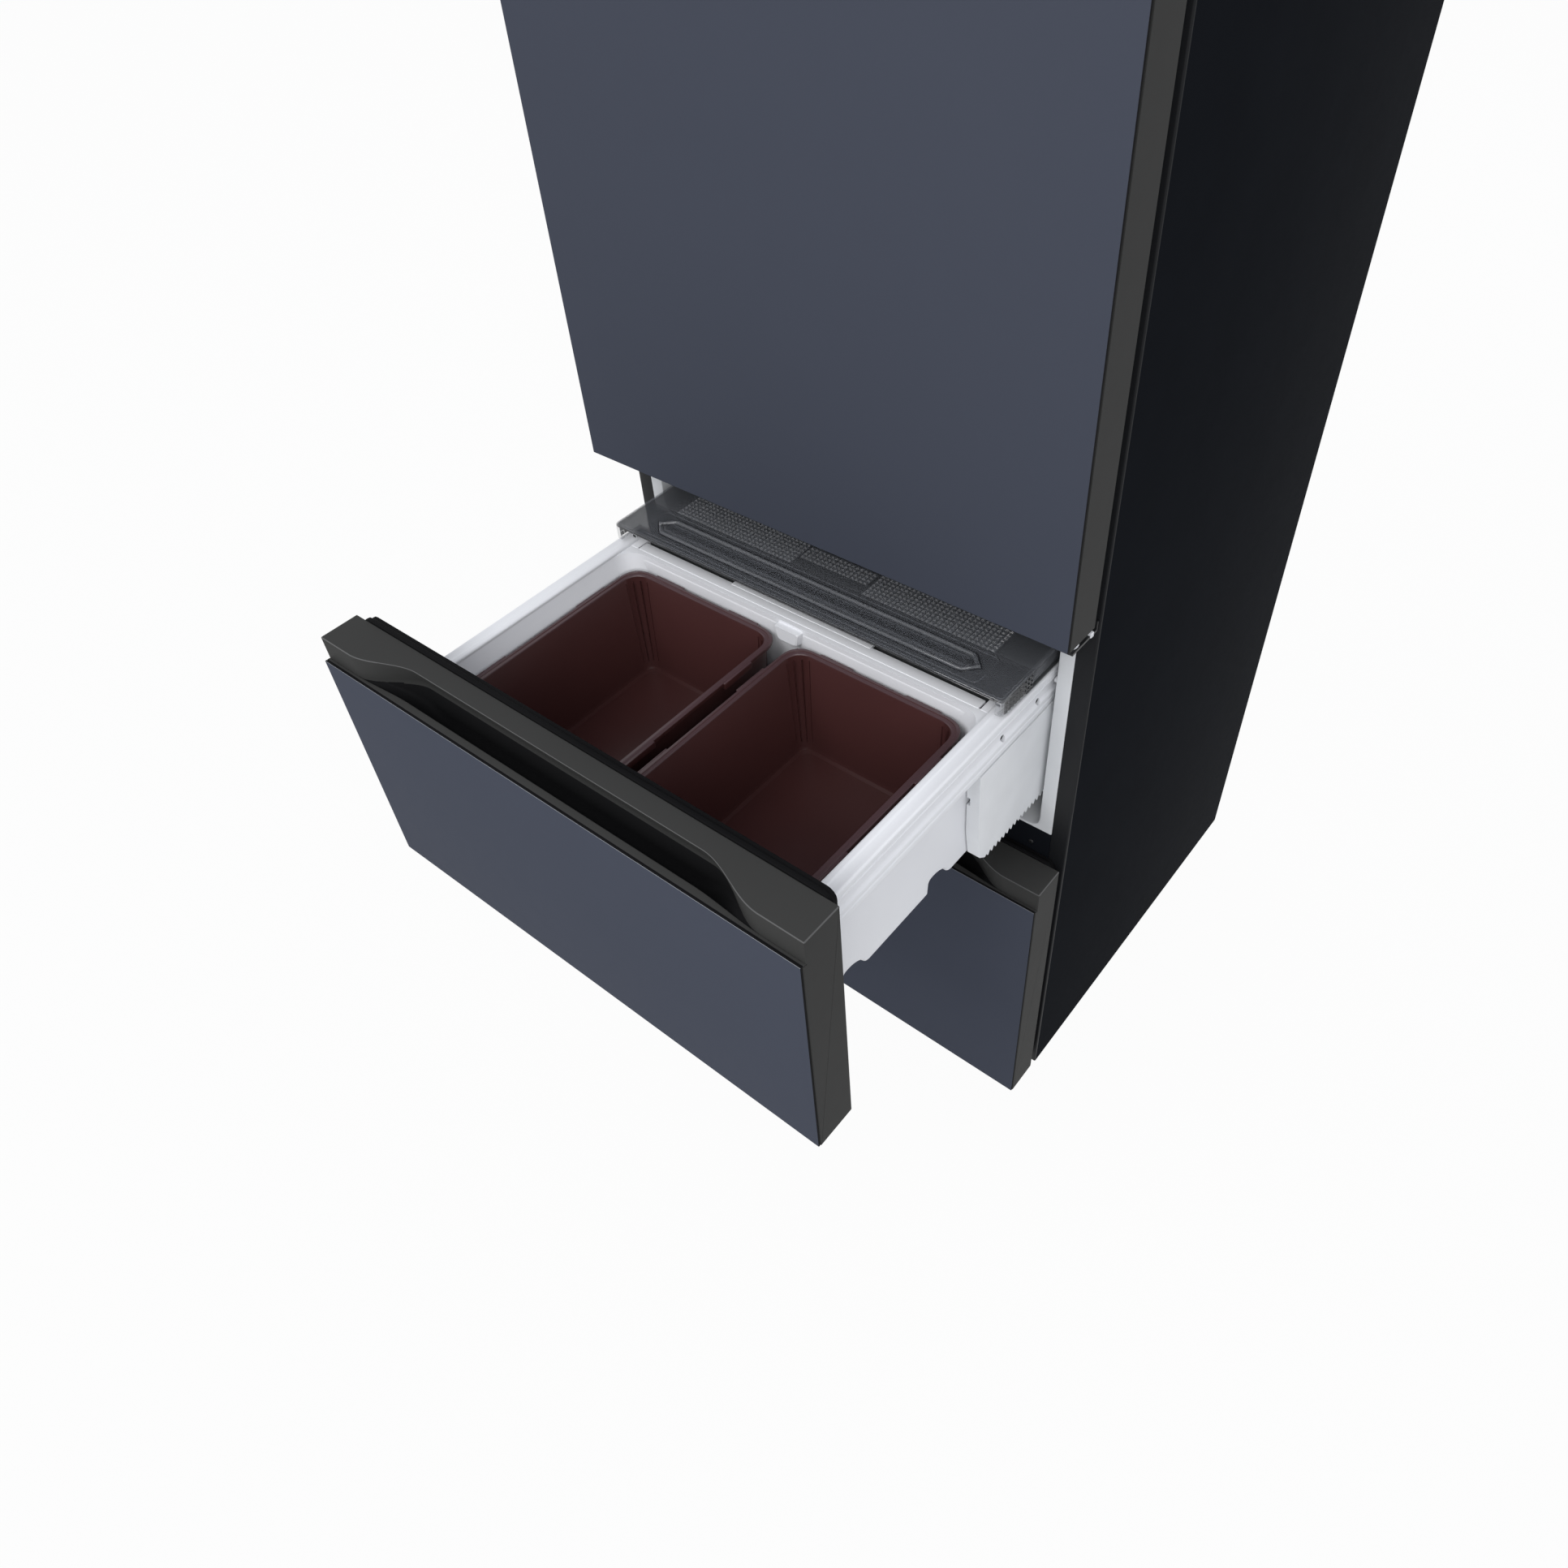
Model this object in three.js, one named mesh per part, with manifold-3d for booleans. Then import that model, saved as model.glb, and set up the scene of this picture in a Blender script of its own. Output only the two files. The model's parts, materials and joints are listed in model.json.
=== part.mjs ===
// A three-door kimchi refrigerator: a tall hinged door above two deep drawers, each drawer with two
// lidless containers, a sliding cover over them and a toothed half-speed slide on each side.
// Millimetres, +X to the viewer's right, +Y to the rear, +Z up. Every piece is worked out with the
// cabinet's front plane at y = 0, and the whole is moved back so that its footprint is centred.
// The middle drawer stands pulled out, as it is used; the door and the lower drawer are shut.

import * as THREE from 'three';
import { mergeVertices } from 'three/addons/utils/BufferGeometryUtils.js';
import Module from 'manifold-3d';

const wasm = await Module();
wasm.setup();

// ---------------------------------------------------------------- driving dimensions

const WIDTH = 695;
const HEIGHT = 1853;
const CASING_BOTTOM = 25.5;
const CASING_TOP = 1838;
const CABINET_DEPTH = 625.2;
const FRONT_THICKNESS = 55.6; // door and drawer fronts
const GASKET_SPACE = 12.6; // from the back of a front to the cabinet
const DRAWER_TRAVEL = 432;
const COVER_TRAVEL = 111;
const SLIDE_TRAVEL = DRAWER_TRAVEL / 2;

const DOOR = { bottom: 904, top: 1840 };
const MIDDLE = { name: 'middle', bottom: 532.3, top: 884.9, tubBottom: 607, slideBottom: 598, open: 1 };
const LOWER = { name: 'lower', bottom: 30, top: 504.4, tubBottom: 132, slideBottom: 122.8, open: 0 };

const GAP = 0.3; // between pieces that touch
const SHEET = 1; // casing steel
const FLANGE_WIDTH = 23.5; // black steel edge round the front
const LINER_WALL = 3;
const OPENING_HALF = 304; // half the width of each compartment
const LINER_DEPTH = 565;
const UPPER_ROOM = { bottom: 922, top: 1800 };
const MIDDLE_ROOM = { bottom: 550, top: 866 };
const LOWER_ROOM = { bottom: 92, top: 486 };
const STEP = { front: 390, top: 305 }; // floor of the lower room over the machine room
const MACHINE_ROOM = { front: 432, top: 266, half: 304 };
const MULLION_DEPTH = 30;

const PANEL_THICKNESS = 4;
const CASE_WALL = 2;
const HINGE = { x: 332, y: -40.4 };
const PIN_RADIUS = 5;

// Places below the top of a drawer front, the same on both drawers
const RIM_DROP = 76.9;
const LEDGE_DROP = 29.6;
const BAND_HEIGHT = 51;
const CONTAINER_DROP = 99.9;
const COVER_DROP = 50.9;
const SLIDE_DROP = 130.4;

// Places along Y behind the cabinet's front plane, with the drawer shut
const TUB_BACK = 340;
const BAND_BACK = 532;
const BAND_HALF = 298;
const TUB_HALF = 279.5;
const CAVITY_HALF = 275.5;
const SLIDE = { front: 76, length: 400, inner: 281, outer: 298.5 };
const SLIDE_TALL_BACK = 382; // where the lower drawer's slide steps up over the machine room
const TONGUE = { drop: 153, height: 12, out: 4, start: 154 };
const GROOVE = { drop: 173, height: 12, depth: 4.5 };
const COVER = { front: 12, length: 420, half: 297.5, plate: 3, lip: 4.5 };

const TEETH = 10;
const TOOTH_PITCH = 8.5;
const PITCH_RADIUS = (TEETH * TOOTH_PITCH) / (2 * Math.PI);
const ADDENDUM = 2.7;
const DEDENDUM = 3.4;
const SHAFT_Y = 150;

const HALF = WIDTH / 2;
const FRONT_BACK = -GASKET_SPACE;
const FRONT_FACE = FRONT_BACK - FRONT_THICKNESS;
const CASE_FACE = FRONT_FACE + PANEL_THICKNESS;
const CENTRE_Y = (CABINET_DEPTH + FRONT_FACE - DRAWER_TRAVEL) / 2;

// ---------------------------------------------------------------- finishes

const finish = (color, roughness, metalness = 0) => new THREE.MeshStandardMaterial({ color, roughness, metalness });
const NAVY_PANEL = finish('#454953', 0.5, 0.1);
const CHARCOAL = finish('#3c3c3a', 0.45);
const BLACK_STEEL = finish('#16181a', 0.35, 0.4);
const WHITE_PLASTIC = finish('#e2e4e6', 0.4);
const LINER_WHITE = finish('#d8dadc', 0.45);
const SLIDE_WHITE = finish('#dce4e8', 0.35);
const BURGUNDY = finish('#4c2827', 0.35);
const DECK_GREY = finish('#545657', 0.6);
const SEAL_BLACK = finish('#141414', 0.8);
const FOAM = finish('#d9cfa8', 0.95);
const ZINC = finish('#a9adb0', 0.4, 0.8);
const DARK_METAL = finish('#1d1e20', 0.5, 0.5);
const COPPER = finish('#b06a45', 0.35, 0.9);
const ALUMINIUM = finish('#b9bcc0', 0.35, 0.9);
const GEAR_GREY = finish('#8e9294', 0.5);
const CLEAR_GLASS = new THREE.MeshStandardMaterial({ color: '#c8d4d2', roughness: 0.1, transparent: true, opacity: 0.35 });
const SMOKE_CLEAR = new THREE.MeshStandardMaterial({ color: '#787b80', roughness: 0.12, transparent: true, opacity: 0.4 });
const LAMP = finish('#f4f2ea', 0.3);

// ---------------------------------------------------------------- solids

function toSolid(geometry) {
  const bare = geometry.clone();
  bare.deleteAttribute('normal');
  bare.deleteAttribute('uv');
  const merged = mergeVertices(bare, 1e-4);
  return new wasm.Manifold(new wasm.Mesh({
    numProp: 3,
    vertProperties: new Float32Array(merged.attributes.position.array),
    triVerts: new Uint32Array(merged.index.array),
  }));
}

function toGeometry(solid) {
  const mesh = solid.getMesh();
  const geometry = new THREE.BufferGeometry();
  geometry.setAttribute('position', new THREE.BufferAttribute(new Float32Array(mesh.vertProperties), 3));
  geometry.setIndex(new THREE.BufferAttribute(new Uint32Array(mesh.triVerts), 1));
  geometry.computeVertexNormals();
  return geometry;
}

const join = (first, ...others) => others.reduce((sum, next) => sum.add(next), first);
const cut = (solid, ...tools) => tools.reduce((rest, tool) => rest.subtract(tool), solid);

function block([x0, x1], [y0, y1], [z0, z1]) {
  const geometry = new THREE.BoxGeometry(Math.abs(x1 - x0), Math.abs(y1 - y0), Math.abs(z1 - z0));
  return toSolid(geometry.translate((x0 + x1) / 2, (y0 + y1) / 2, (z0 + z1) / 2));
}

// A block from -half to half along X
const wide = (half, ySpan, zSpan) => block([-half, half], ySpan, zSpan);

// An outline extruded along an axis: points are (y, z) for x, (x, z) for y and (x, y) for z
function prism(points, axis, [start, end]) {
  const shape = new THREE.Shape(points.map(([u, v]) => new THREE.Vector2(u, v)));
  const geometry = new THREE.ExtrudeGeometry(shape, { depth: end - start, bevelEnabled: false });
  const X = new THREE.Vector3(1, 0, 0);
  const Y = new THREE.Vector3(0, 1, 0);
  const Z = new THREE.Vector3(0, 0, 1);
  const basis = {
    x: [Y, Z, X, X.clone().multiplyScalar(start)],
    y: [X, Z, Y.clone().negate(), Y.clone().multiplyScalar(end)],
    z: [X, Y, Z, Z.clone().multiplyScalar(start)],
  }[axis];
  const placed = new THREE.Matrix4().makeBasis(basis[0], basis[1], basis[2]).setPosition(basis[3]);
  return toSolid(geometry.applyMatrix4(placed));
}

// A round bar along an axis through a centre, from start to end on that axis
function bar(axis, radius, centre, [start, end], sides = 16) {
  const geometry = new THREE.CylinderGeometry(radius, radius, end - start, sides);
  const middle = (start + end) / 2;
  if (axis === 'x') geometry.rotateZ(Math.PI / 2).translate(middle, centre[0], centre[1]);
  if (axis === 'y') geometry.translate(centre[0], middle, centre[1]);
  if (axis === 'z') geometry.rotateX(Math.PI / 2).translate(centre[0], centre[1], middle);
  return toSolid(geometry);
}

function roundedRectangle([x0, x1], [y0, y1], radius, steps = 4) {
  const corners = [[x1 - radius, y0 + radius, -90], [x1 - radius, y1 - radius, 0],
    [x0 + radius, y1 - radius, 90], [x0 + radius, y0 + radius, 180]];
  return corners.flatMap(([x, y, from]) => Array.from({ length: steps + 1 }, (_, i) => {
    const angle = THREE.MathUtils.degToRad(from + (90 * i) / steps);
    return [x + radius * Math.cos(angle), y + radius * Math.sin(angle)];
  }));
}

// A closed body through sections of equal point count, each a list of Vector3
function loft(sections) {
  const count = sections[0].length;
  const faces = [];
  for (let row = 0; row + 1 < sections.length; row += 1) {
    for (let i = 0; i < count; i += 1) {
      const next = (i + 1) % count;
      const [a, b, c, d] = [row * count + i, row * count + next, (row + 1) * count + next, (row + 1) * count + i];
      faces.push([a, b, c], [a, c, d]);
    }
  }
  const flat = sections.map((section) => flatten(section));
  const last = (sections.length - 1) * count;
  for (const [a, b, c] of THREE.ShapeUtils.triangulateShape(flat[0], [])) faces.push([a, c, b]);
  for (const [a, b, c] of THREE.ShapeUtils.triangulateShape(flat.at(-1), [])) faces.push([last + a, last + b, last + c]);
  const points = sections.flat();
  const volume = faces.reduce((sum, [a, b, c]) => sum + points[a].dot(points[b].clone().cross(points[c])), 0);
  const turned = volume < 0 ? faces.map(([a, b, c]) => [a, c, b]) : faces;
  const geometry = new THREE.BufferGeometry();
  geometry.setAttribute('position', new THREE.Float32BufferAttribute(points.flatMap((p) => p.toArray()), 3));
  geometry.setIndex(turned.flat());
  return toSolid(geometry);
}

// A section's points in its own plane, wound as the section's sides are
function flatten(section) {
  const normal = new THREE.Vector3();
  section.forEach((p, i) => normal.add(p.clone().cross(section[(i + 1) % section.length])));
  const axis = ['x', 'y', 'z'].reduce((best, key) => (Math.abs(normal[key]) > Math.abs(normal[best]) ? key : best));
  const keys = { x: ['y', 'z'], y: ['z', 'x'], z: ['x', 'y'] }[axis];
  return section.map((p) => new THREE.Vector2(p[keys[0]], p[keys[1]]));
}

const level = (outline, z) => outline.map(([x, y]) => new THREE.Vector3(x, y, z));

function piece(group, name, solid, material) {
  const mesh = new THREE.Mesh(toGeometry(solid), material);
  mesh.name = name;
  group.add(mesh);
}

const SIDES = [['left', -1], ['right', 1]];
const ring = (half, inner, ySpan, zOuter, zInner) => cut(
  wide(half, ySpan, zOuter),
  wide(inner, [ySpan[0] - 1, ySpan[1] + 1], zInner),
);

// ---------------------------------------------------------------- cabinet shell

function outerCasing() {
  const shell = cut(
    wide(HALF, [0, CABINET_DEPTH], [CASING_BOTTOM, CASING_TOP]),
    wide(HALF - SHEET, [SHEET, CABINET_DEPTH + 1], [0, CASING_TOP - SHEET]),
  );
  return cut(shell, wide(HALF - FLANGE_WIDTH, [-1, SHEET + 1], [0, CASING_TOP - FLANGE_WIDTH]));
}

const REAR_SHEET_Y = CABINET_DEPTH - 2.9;
const INSIDE_HALF = HALF - SHEET - GAP;

function rearPanel() {
  const zSpan = [MACHINE_ROOM.top + 2, CASING_TOP - SHEET - GAP];
  const ribs = [-240, -80, 80, 240].map((x) => block(
    [x - 20, x + 20], [REAR_SHEET_Y, CABINET_DEPTH], [zSpan[0] + 80, zSpan[1] - 80]));
  return join(wide(INSIDE_HALF, [REAR_SHEET_Y, REAR_SHEET_Y + SHEET], zSpan), ...ribs);
}

const PAN_Z = [26, 28];

function basePan() {
  const floor = wide(INSIDE_HALF, [SHEET + GAP, REAR_SHEET_Y - GAP], PAN_Z);
  const frontRail = wide(HALF - FLANGE_WIDTH - GAP, [0, SHEET + 1], [PAN_Z[0], LOWER_ROOM.bottom - LINER_WALL - GAP]);
  return join(floor, frontRail);
}

// The hollows that liners, cross bars and the machine room take out of the foam
function foamHollows() {
  const wall = LINER_WALL + GAP;
  const room = ({ bottom, top }) => wide(OPENING_HALF + wall, [-1, LINER_DEPTH + wall], [bottom - wall, top + wall]);
  const barRoom = (zSpan) => wide(HALF - FLANGE_WIDTH, [-1, MULLION_DEPTH + GAP], zSpan);
  const lowerFront = wide(OPENING_HALF + wall, [-1, STEP.front + wall], [LOWER_ROOM.bottom - wall, LOWER_ROOM.top + wall]);
  const lowerBack = wide(OPENING_HALF + wall, [-1, LINER_DEPTH + wall], [STEP.top - wall, LOWER_ROOM.top + wall]);
  return [
    room(UPPER_ROOM), room(MIDDLE_ROOM), lowerFront, lowerBack,
    barRoom([MIDDLE_ROOM.top + wall, UPPER_ROOM.bottom - wall]),
    barRoom([LOWER_ROOM.top + wall, MIDDLE_ROOM.bottom - wall]),
    wide(MACHINE_ROOM.half, [MACHINE_ROOM.front, CABINET_DEPTH], [0, MACHINE_ROOM.top]),
  ];
}

function cabinetFoam() {
  const body = wide(INSIDE_HALF, [SHEET + 1 + GAP, REAR_SHEET_Y - GAP], [PAN_Z[1] + GAP, CASING_TOP - SHEET - GAP]);
  return cut(body, ...foamHollows());
}

function linerShell({ bottom, top }) {
  const outer = join(
    wide(OPENING_HALF + LINER_WALL, [0, LINER_DEPTH + LINER_WALL], [bottom - LINER_WALL, top + LINER_WALL]),
    wide(HALF - FLANGE_WIDTH - GAP, [0, SHEET + 1], [bottom - LINER_WALL, top + LINER_WALL]),
  );
  return cut(outer, wide(OPENING_HALF, [-1, LINER_DEPTH], [bottom, top]));
}

const SHELF_HEIGHTS = [1150, 1370, 1590];
const SHELF = { half: 303, front: 115, back: 500, thickness: 4 };

function upperLiner() {
  const ribs = SHELF_HEIGHTS.flatMap((z) => SIDES.map(([, side]) => block(
    [side * (OPENING_HALF - 8), side * (OPENING_HALF + 1)], [SHELF.front + 5, SHELF.back], [z - GAP - 6, z - GAP])));
  return join(linerShell(UPPER_ROOM), ...ribs);
}

const shaftHeight = (drawer) => drawer.slideBottom + ADDENDUM - PITCH_RADIUS;
const BEARING = { inner: 299.4, bore: 4.4, journal: 4, journalEnd: 303.5, half: 13 };

// On each side wall: a pair of ribs that hold the slide's tongue, the cover's ledge and a shaft bearing
function runnerParts(drawer, floor) {
  const tongueTop = drawer.top - TONGUE.drop;
  const running = 0.8;
  return SIDES.flatMap(([, side]) => {
    const xSpan = [side * BEARING.inner, side * (OPENING_HALF + 1)];
    const lowerRib = block(xSpan, [12, 500], [tongueTop - TONGUE.height - running - 9, tongueTop - TONGUE.height - running]);
    const upperRib = block(xSpan, [12, 500], [tongueTop + running, tongueTop + running + 9]);
    const ledge = block(xSpan, [15, 560], [drawer.top - 76, drawer.top - 66.4]);
    const bearing = block(xSpan, [SHAFT_Y - BEARING.half, SHAFT_Y + BEARING.half], [floor - 1, shaftHeight(drawer) + 11]);
    return [lowerRib, upperRib, ledge, bearing];
  });
}

const shaftBores = (drawer) => SIDES.map(([, side]) => {
  const ends = [side * (BEARING.inner - 1), side * (OPENING_HALF)].sort((a, b) => a - b);
  return bar('x', BEARING.bore, [SHAFT_Y, shaftHeight(drawer)], ends);
});

function middleLiner() {
  const shell = join(linerShell(MIDDLE_ROOM), ...runnerParts(MIDDLE, MIDDLE_ROOM.bottom));
  return cut(shell, ...shaftBores(MIDDLE));
}

function lowerLiner() {
  const raised = wide(OPENING_HALF + LINER_WALL, [STEP.front, LINER_DEPTH + LINER_WALL], [LOWER_ROOM.bottom - LINER_WALL, STEP.top]);
  const below = wide(OPENING_HALF + LINER_WALL + 1, [STEP.front + LINER_WALL, LINER_DEPTH + LINER_WALL + 1],
    [LOWER_ROOM.bottom - LINER_WALL - 1, STEP.top - LINER_WALL]);
  const shell = cut(join(linerShell(LOWER_ROOM), raised), below);
  return cut(join(shell, ...runnerParts(LOWER, LOWER_ROOM.bottom)), ...shaftBores(LOWER));
}

// A steel channel across the front between two compartments
function mullion(lowRoom, highRoom) {
  const zSpan = [lowRoom.top + LINER_WALL + GAP, highRoom.bottom - LINER_WALL - GAP];
  const half = HALF - FLANGE_WIDTH - GAP;
  const channel = wide(half, [0, MULLION_DEPTH], zSpan);
  return cut(channel, wide(half - 1.5, [1.5, MULLION_DEPTH + 1], [zSpan[0] + 1.5, zSpan[1] - 1.5]));
}

const FOOT_X = 290;

function levellingFoot(side, y) {
  const x = side * FOOT_X;
  const pad = toSolid(new THREE.LatheGeometry([[0, 0], [20, 0], [22, 3], [20, 9], [8, 12], [8, 16], [0, 16]]
    .map(([r, z]) => new THREE.Vector2(r, z)), 12).rotateX(Math.PI / 2).translate(x, y, 0));
  return join(pad, bar('z', 6, [x, y], [15, PAN_Z[0] - GAP], 8));
}

// ---------------------------------------------------------------- machine room

const COMPRESSOR = { x: 150, y: 530, radius: 70 };

function compressor() {
  const profile = [[0, 0], [60, 0], [68, 10], [COMPRESSOR.radius, 40], [COMPRESSOR.radius, 110], [62, 140], [40, 158], [0, 166]];
  const can = toSolid(new THREE.LatheGeometry(profile.map(([r, z]) => new THREE.Vector2(r, z)), 24)
    .rotateX(Math.PI / 2).translate(COMPRESSOR.x, COMPRESSOR.y, 38));
  const plate = block([COMPRESSOR.x - 95, COMPRESSOR.x + 95], [COMPRESSOR.y - 60, COMPRESSOR.y + 60], [34, 39]);
  const legs = [-80, 80].flatMap((dx) => [-45, 45].map((dy) => bar(
    'z', 11, [COMPRESSOR.x + dx, COMPRESSOR.y + dy], [PAN_Z[1] + GAP, 35], 12)));
  const terminalBox = block([COMPRESSOR.x + 60, COMPRESSOR.x + 92], [COMPRESSOR.y - 30, COMPRESSOR.y + 30], [80, 145]);
  return join(can, plate, terminalBox, ...legs);
}

// Upright fins on level tubes, with the air blown through along the fins
function finBlock([x0, x1], [y0, y1], [z0, z1], fins, tubes, finAxis) {
  const at = (i, [from, to], n) => from + ((to - from) * i) / (n - 1);
  const plates = Array.from({ length: fins }, (_, i) => {
    const place = at(i, finAxis === 'x' ? [x0 + 1, x1 - 1] : [y0 + 1, y1 - 1], fins);
    const thin = [place - 1, place + 1];
    return finAxis === 'x' ? block(thin, [y0, y1], [z0, z1]) : block([x0, x1], thin, [z0, z1]);
  });
  const bars = Array.from({ length: tubes }, (_, i) => {
    const z = at(i, [z0 + 20, z1 - 20], tubes);
    return block(finAxis === 'x' ? [x0, x1] : [(x0 + x1) / 2 - 4, (x0 + x1) / 2 + 4],
      finAxis === 'x' ? [(y0 + y1) / 2 - 4, (y0 + y1) / 2 + 4] : [y0, y1], [z - 4, z + 4]);
  });
  return join(plates[0], ...plates.slice(1), ...bars);
}

const CONDENSER_FAN = { x: -206, y: 525, z: 137, radius: 76 };

function fanShroud() {
  const { x, y, z, radius } = CONDENSER_FAN;
  const plate = block([x - 6, x + 16], [436, 616], [PAN_Z[1] + GAP, 250]);
  const opening = bar('x', radius + 6, [y, z], [x - 7, x + 17], 24);
  const strut = block([x + 10, x + 16], [y - radius - 8, y + radius + 8], [z - 6, z + 6]);
  return join(cut(plate, opening), strut, bar('x', 24, [y, z], [x + 10, x + 38], 20));
}

// A hub with blades twisted out of the rotor's plane, turning about the X or Y axis
function fanRotor(axis, { x, y, z, radius }, blades) {
  const hub = new THREE.CylinderGeometry(20, 20, 14, 16).rotateZ(Math.PI / 2);
  const parts = [toSolid(place(hub))];
  for (let i = 0; i < blades; i += 1) {
    const blade = new THREE.BoxGeometry(2, radius - 16, 34).rotateY(0.45).translate(0, (radius + 16) / 2, 0);
    parts.push(toSolid(place(blade.rotateX((2 * Math.PI * i) / blades))));
  }
  function place(geometry) {
    return (axis === 'y' ? geometry.rotateZ(Math.PI / 2) : geometry).translate(x, y, z);
  }
  return join(...parts);
}

function machineRoomCover() {
  const zSpan = [PAN_Z[1] + GAP, MACHINE_ROOM.top];
  const plate = wide(INSIDE_HALF, [REAR_SHEET_Y, REAR_SHEET_Y + 1.5], zSpan);
  const edge = cut(wide(INSIDE_HALF, [REAR_SHEET_Y, CABINET_DEPTH], zSpan),
    wide(INSIDE_HALF - 12, [REAR_SHEET_Y - 1, CABINET_DEPTH + 1], [zSpan[0] + 12, zSpan[1] - 12]));
  const slots = [-230, -110, 110].flatMap((x) => Array.from({ length: 6 }, (_, i) => block(
    [x - 45, x + 45], [REAR_SHEET_Y - 1, REAR_SHEET_Y + 3], [70 + 26 * i, 80 + 26 * i])));
  const gland = bar('y', 12, [250, 90], [REAR_SHEET_Y - 8, CABINET_DEPTH], 16);
  return join(cut(join(plate, edge), ...slots), gland);
}

// ---------------------------------------------------------------- upper compartment

const DUCT = { front: 505, half: 290, bottom: 926, top: 1796 };
const EVAPORATOR_FAN = { x: 0, y: 527, z: 1560, radius: 55 };

function ductCover() {
  const shell = cut(wide(DUCT.half, [DUCT.front, LINER_DEPTH - GAP], [DUCT.bottom, DUCT.top]),
    wide(DUCT.half - 3, [DUCT.front + 3, LINER_DEPTH], [DUCT.bottom + 3, DUCT.top - 3]));
  const slots = [1040, 1260, 1480, 1690].flatMap((z) => [-160, 160].flatMap((x) => [0, 16].map((dz) => block(
    [x - 60, x + 60], [DUCT.front - 1, DUCT.front + 4], [z + dz, z + dz + 7]))));
  return cut(shell, ...slots);
}

// ---------------------------------------------------------------- hinges

function topHingeBracket() {
  const arm = block([318, 344], [-56, 92], [DOOR.top + 1.5, DOOR.top + 5]);
  const base = block([318, 344], [4, 92], [CASING_TOP + GAP, DOOR.top + 2]);
  return join(arm, base, bar('z', PIN_RADIUS, [HINGE.x, HINGE.y], [DOOR.top - 18, DOOR.top + 2]));
}

function topHingeCover() {
  const skirt = 2.5;
  const outer = join(
    block([284, HALF - 1], [-62, 110], [DOOR.top + 1, HEIGHT]),
    block([284, HALF - 1], [1, 110], [CASING_TOP + GAP, HEIGHT]),
  );
  const bevel = prism([[-63, HEIGHT - 5], [-63, HEIGHT + 1], [-56, HEIGHT + 1]], 'x', [283, HALF]);
  const inside = block([284 + skirt, HALF - 1 - skirt], [-62 + skirt, 110 - skirt], [0, HEIGHT - skirt]);
  return cut(outer, inside, bevel);
}

function middleHingeBracket() {
  const plateZ = [889.5, 893];
  const arm = block([312, 345], [-52, -GAP], plateZ);
  const flange = block([298, 345], [-3.3, -GAP], [plateZ[0], DOOR.bottom - 1]);
  const bush = bar('z', 9, [HINGE.x, HINGE.y], [plateZ[1] - 1, DOOR.bottom - GAP]);
  return join(arm, flange, bush, bar('z', PIN_RADIUS, [HINGE.x, HINGE.y], [plateZ[1], DOOR.bottom + 14]));
}

// ---------------------------------------------------------------- upper door

const GRIP = { x: [-330, -150], y: [-52, -20], depth: 24 };
const DYKE = { outer: 292, inner: 268, back: 32, bottom: 938, top: 1786, web: 24, skin: 3 };

const pinHoles = (radius, depth) => [
  bar('z', radius, [HINGE.x, HINGE.y], [DOOR.bottom - 1, DOOR.bottom + depth]),
  bar('z', radius, [HINGE.x, HINGE.y], [DOOR.top - depth, DOOR.top + 1]),
];

function doorCase() {
  const sides = ring(HALF, HALF - 3, [CASE_FACE, FRONT_BACK - 2], [DOOR.bottom, DOOR.top], [DOOR.bottom + 3, DOOR.top - 3]);
  const box = block([GRIP.x[0] - 3, GRIP.x[1] + 3], [GRIP.y[0] - 3, GRIP.y[1] + 3], [DOOR.bottom, DOOR.bottom + GRIP.depth + 3]);
  const pocket = block(GRIP.x, GRIP.y, [DOOR.bottom - 1, DOOR.bottom + GRIP.depth]);
  return cut(join(sides, box), pocket, ...pinHoles(6.5, 30));
}

// The raised frame round the door's inner face, grown or shrunk by a skin
function dykeRing(grow, [frontY, backY]) {
  return cut(
    wide(DYKE.outer + grow, [frontY, backY], [DYKE.bottom - grow, DYKE.top + grow]),
    wide(DYKE.inner - grow, [frontY - 1, backY + 1], [DYKE.bottom + DYKE.web + grow, DYKE.top - DYKE.web - grow]),
  );
}

function doorLiner() {
  const inset = 3 + GAP;
  const plate = wide(HALF - inset, [FRONT_BACK - 2, FRONT_BACK], [DOOR.bottom + inset, DOOR.top - inset]);
  const dyke = dykeRing(0, [FRONT_BACK - 2, DYKE.back]);
  const hollow = dykeRing(-DYKE.skin, [FRONT_BACK - 3, DYKE.back - DYKE.skin]);
  return cut(join(plate, dyke), hollow);
}

function doorFoam() {
  const inset = 3 + GAP;
  const core = wide(HALF - inset, [CASE_FACE + GAP, FRONT_BACK - 2 - GAP], [DOOR.bottom + inset, DOOR.top - inset]);
  const grip = block([GRIP.x[0] - inset, GRIP.x[1] + inset], [GRIP.y[0] - inset, GRIP.y[1] + inset],
    [DOOR.bottom, DOOR.bottom + GRIP.depth + inset]);
  const dyke = dykeRing(-DYKE.skin - GAP, [CASE_FACE + 10, DYKE.back - DYKE.skin - GAP]);
  return cut(join(core, dyke), grip, ...pinHoles(8, 32));
}

function doorBin(z) {
  const half = DYKE.inner - 2;
  const [front, back, height] = [FRONT_BACK + GAP, 98, 92];
  const outer = roundedRectangle([-half, half], [front, back], 14, 3);
  const inner = roundedRectangle([-half + 3, half - 3], [front + 3, back - 3], 12, 3);
  return cut(prism(outer, 'z', [z, z + height]), prism(inner, 'z', [z + 3, z + height + 1]));
}

function sealRing(bottom, top, half, web) {
  return cut(
    wide(half, [FRONT_BACK + GAP, -GAP], [bottom, top]),
    wide(half - web, [FRONT_BACK - 1, 1], [bottom + web, top - web]),
  );
}

// ---------------------------------------------------------------- drawer fronts

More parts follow.
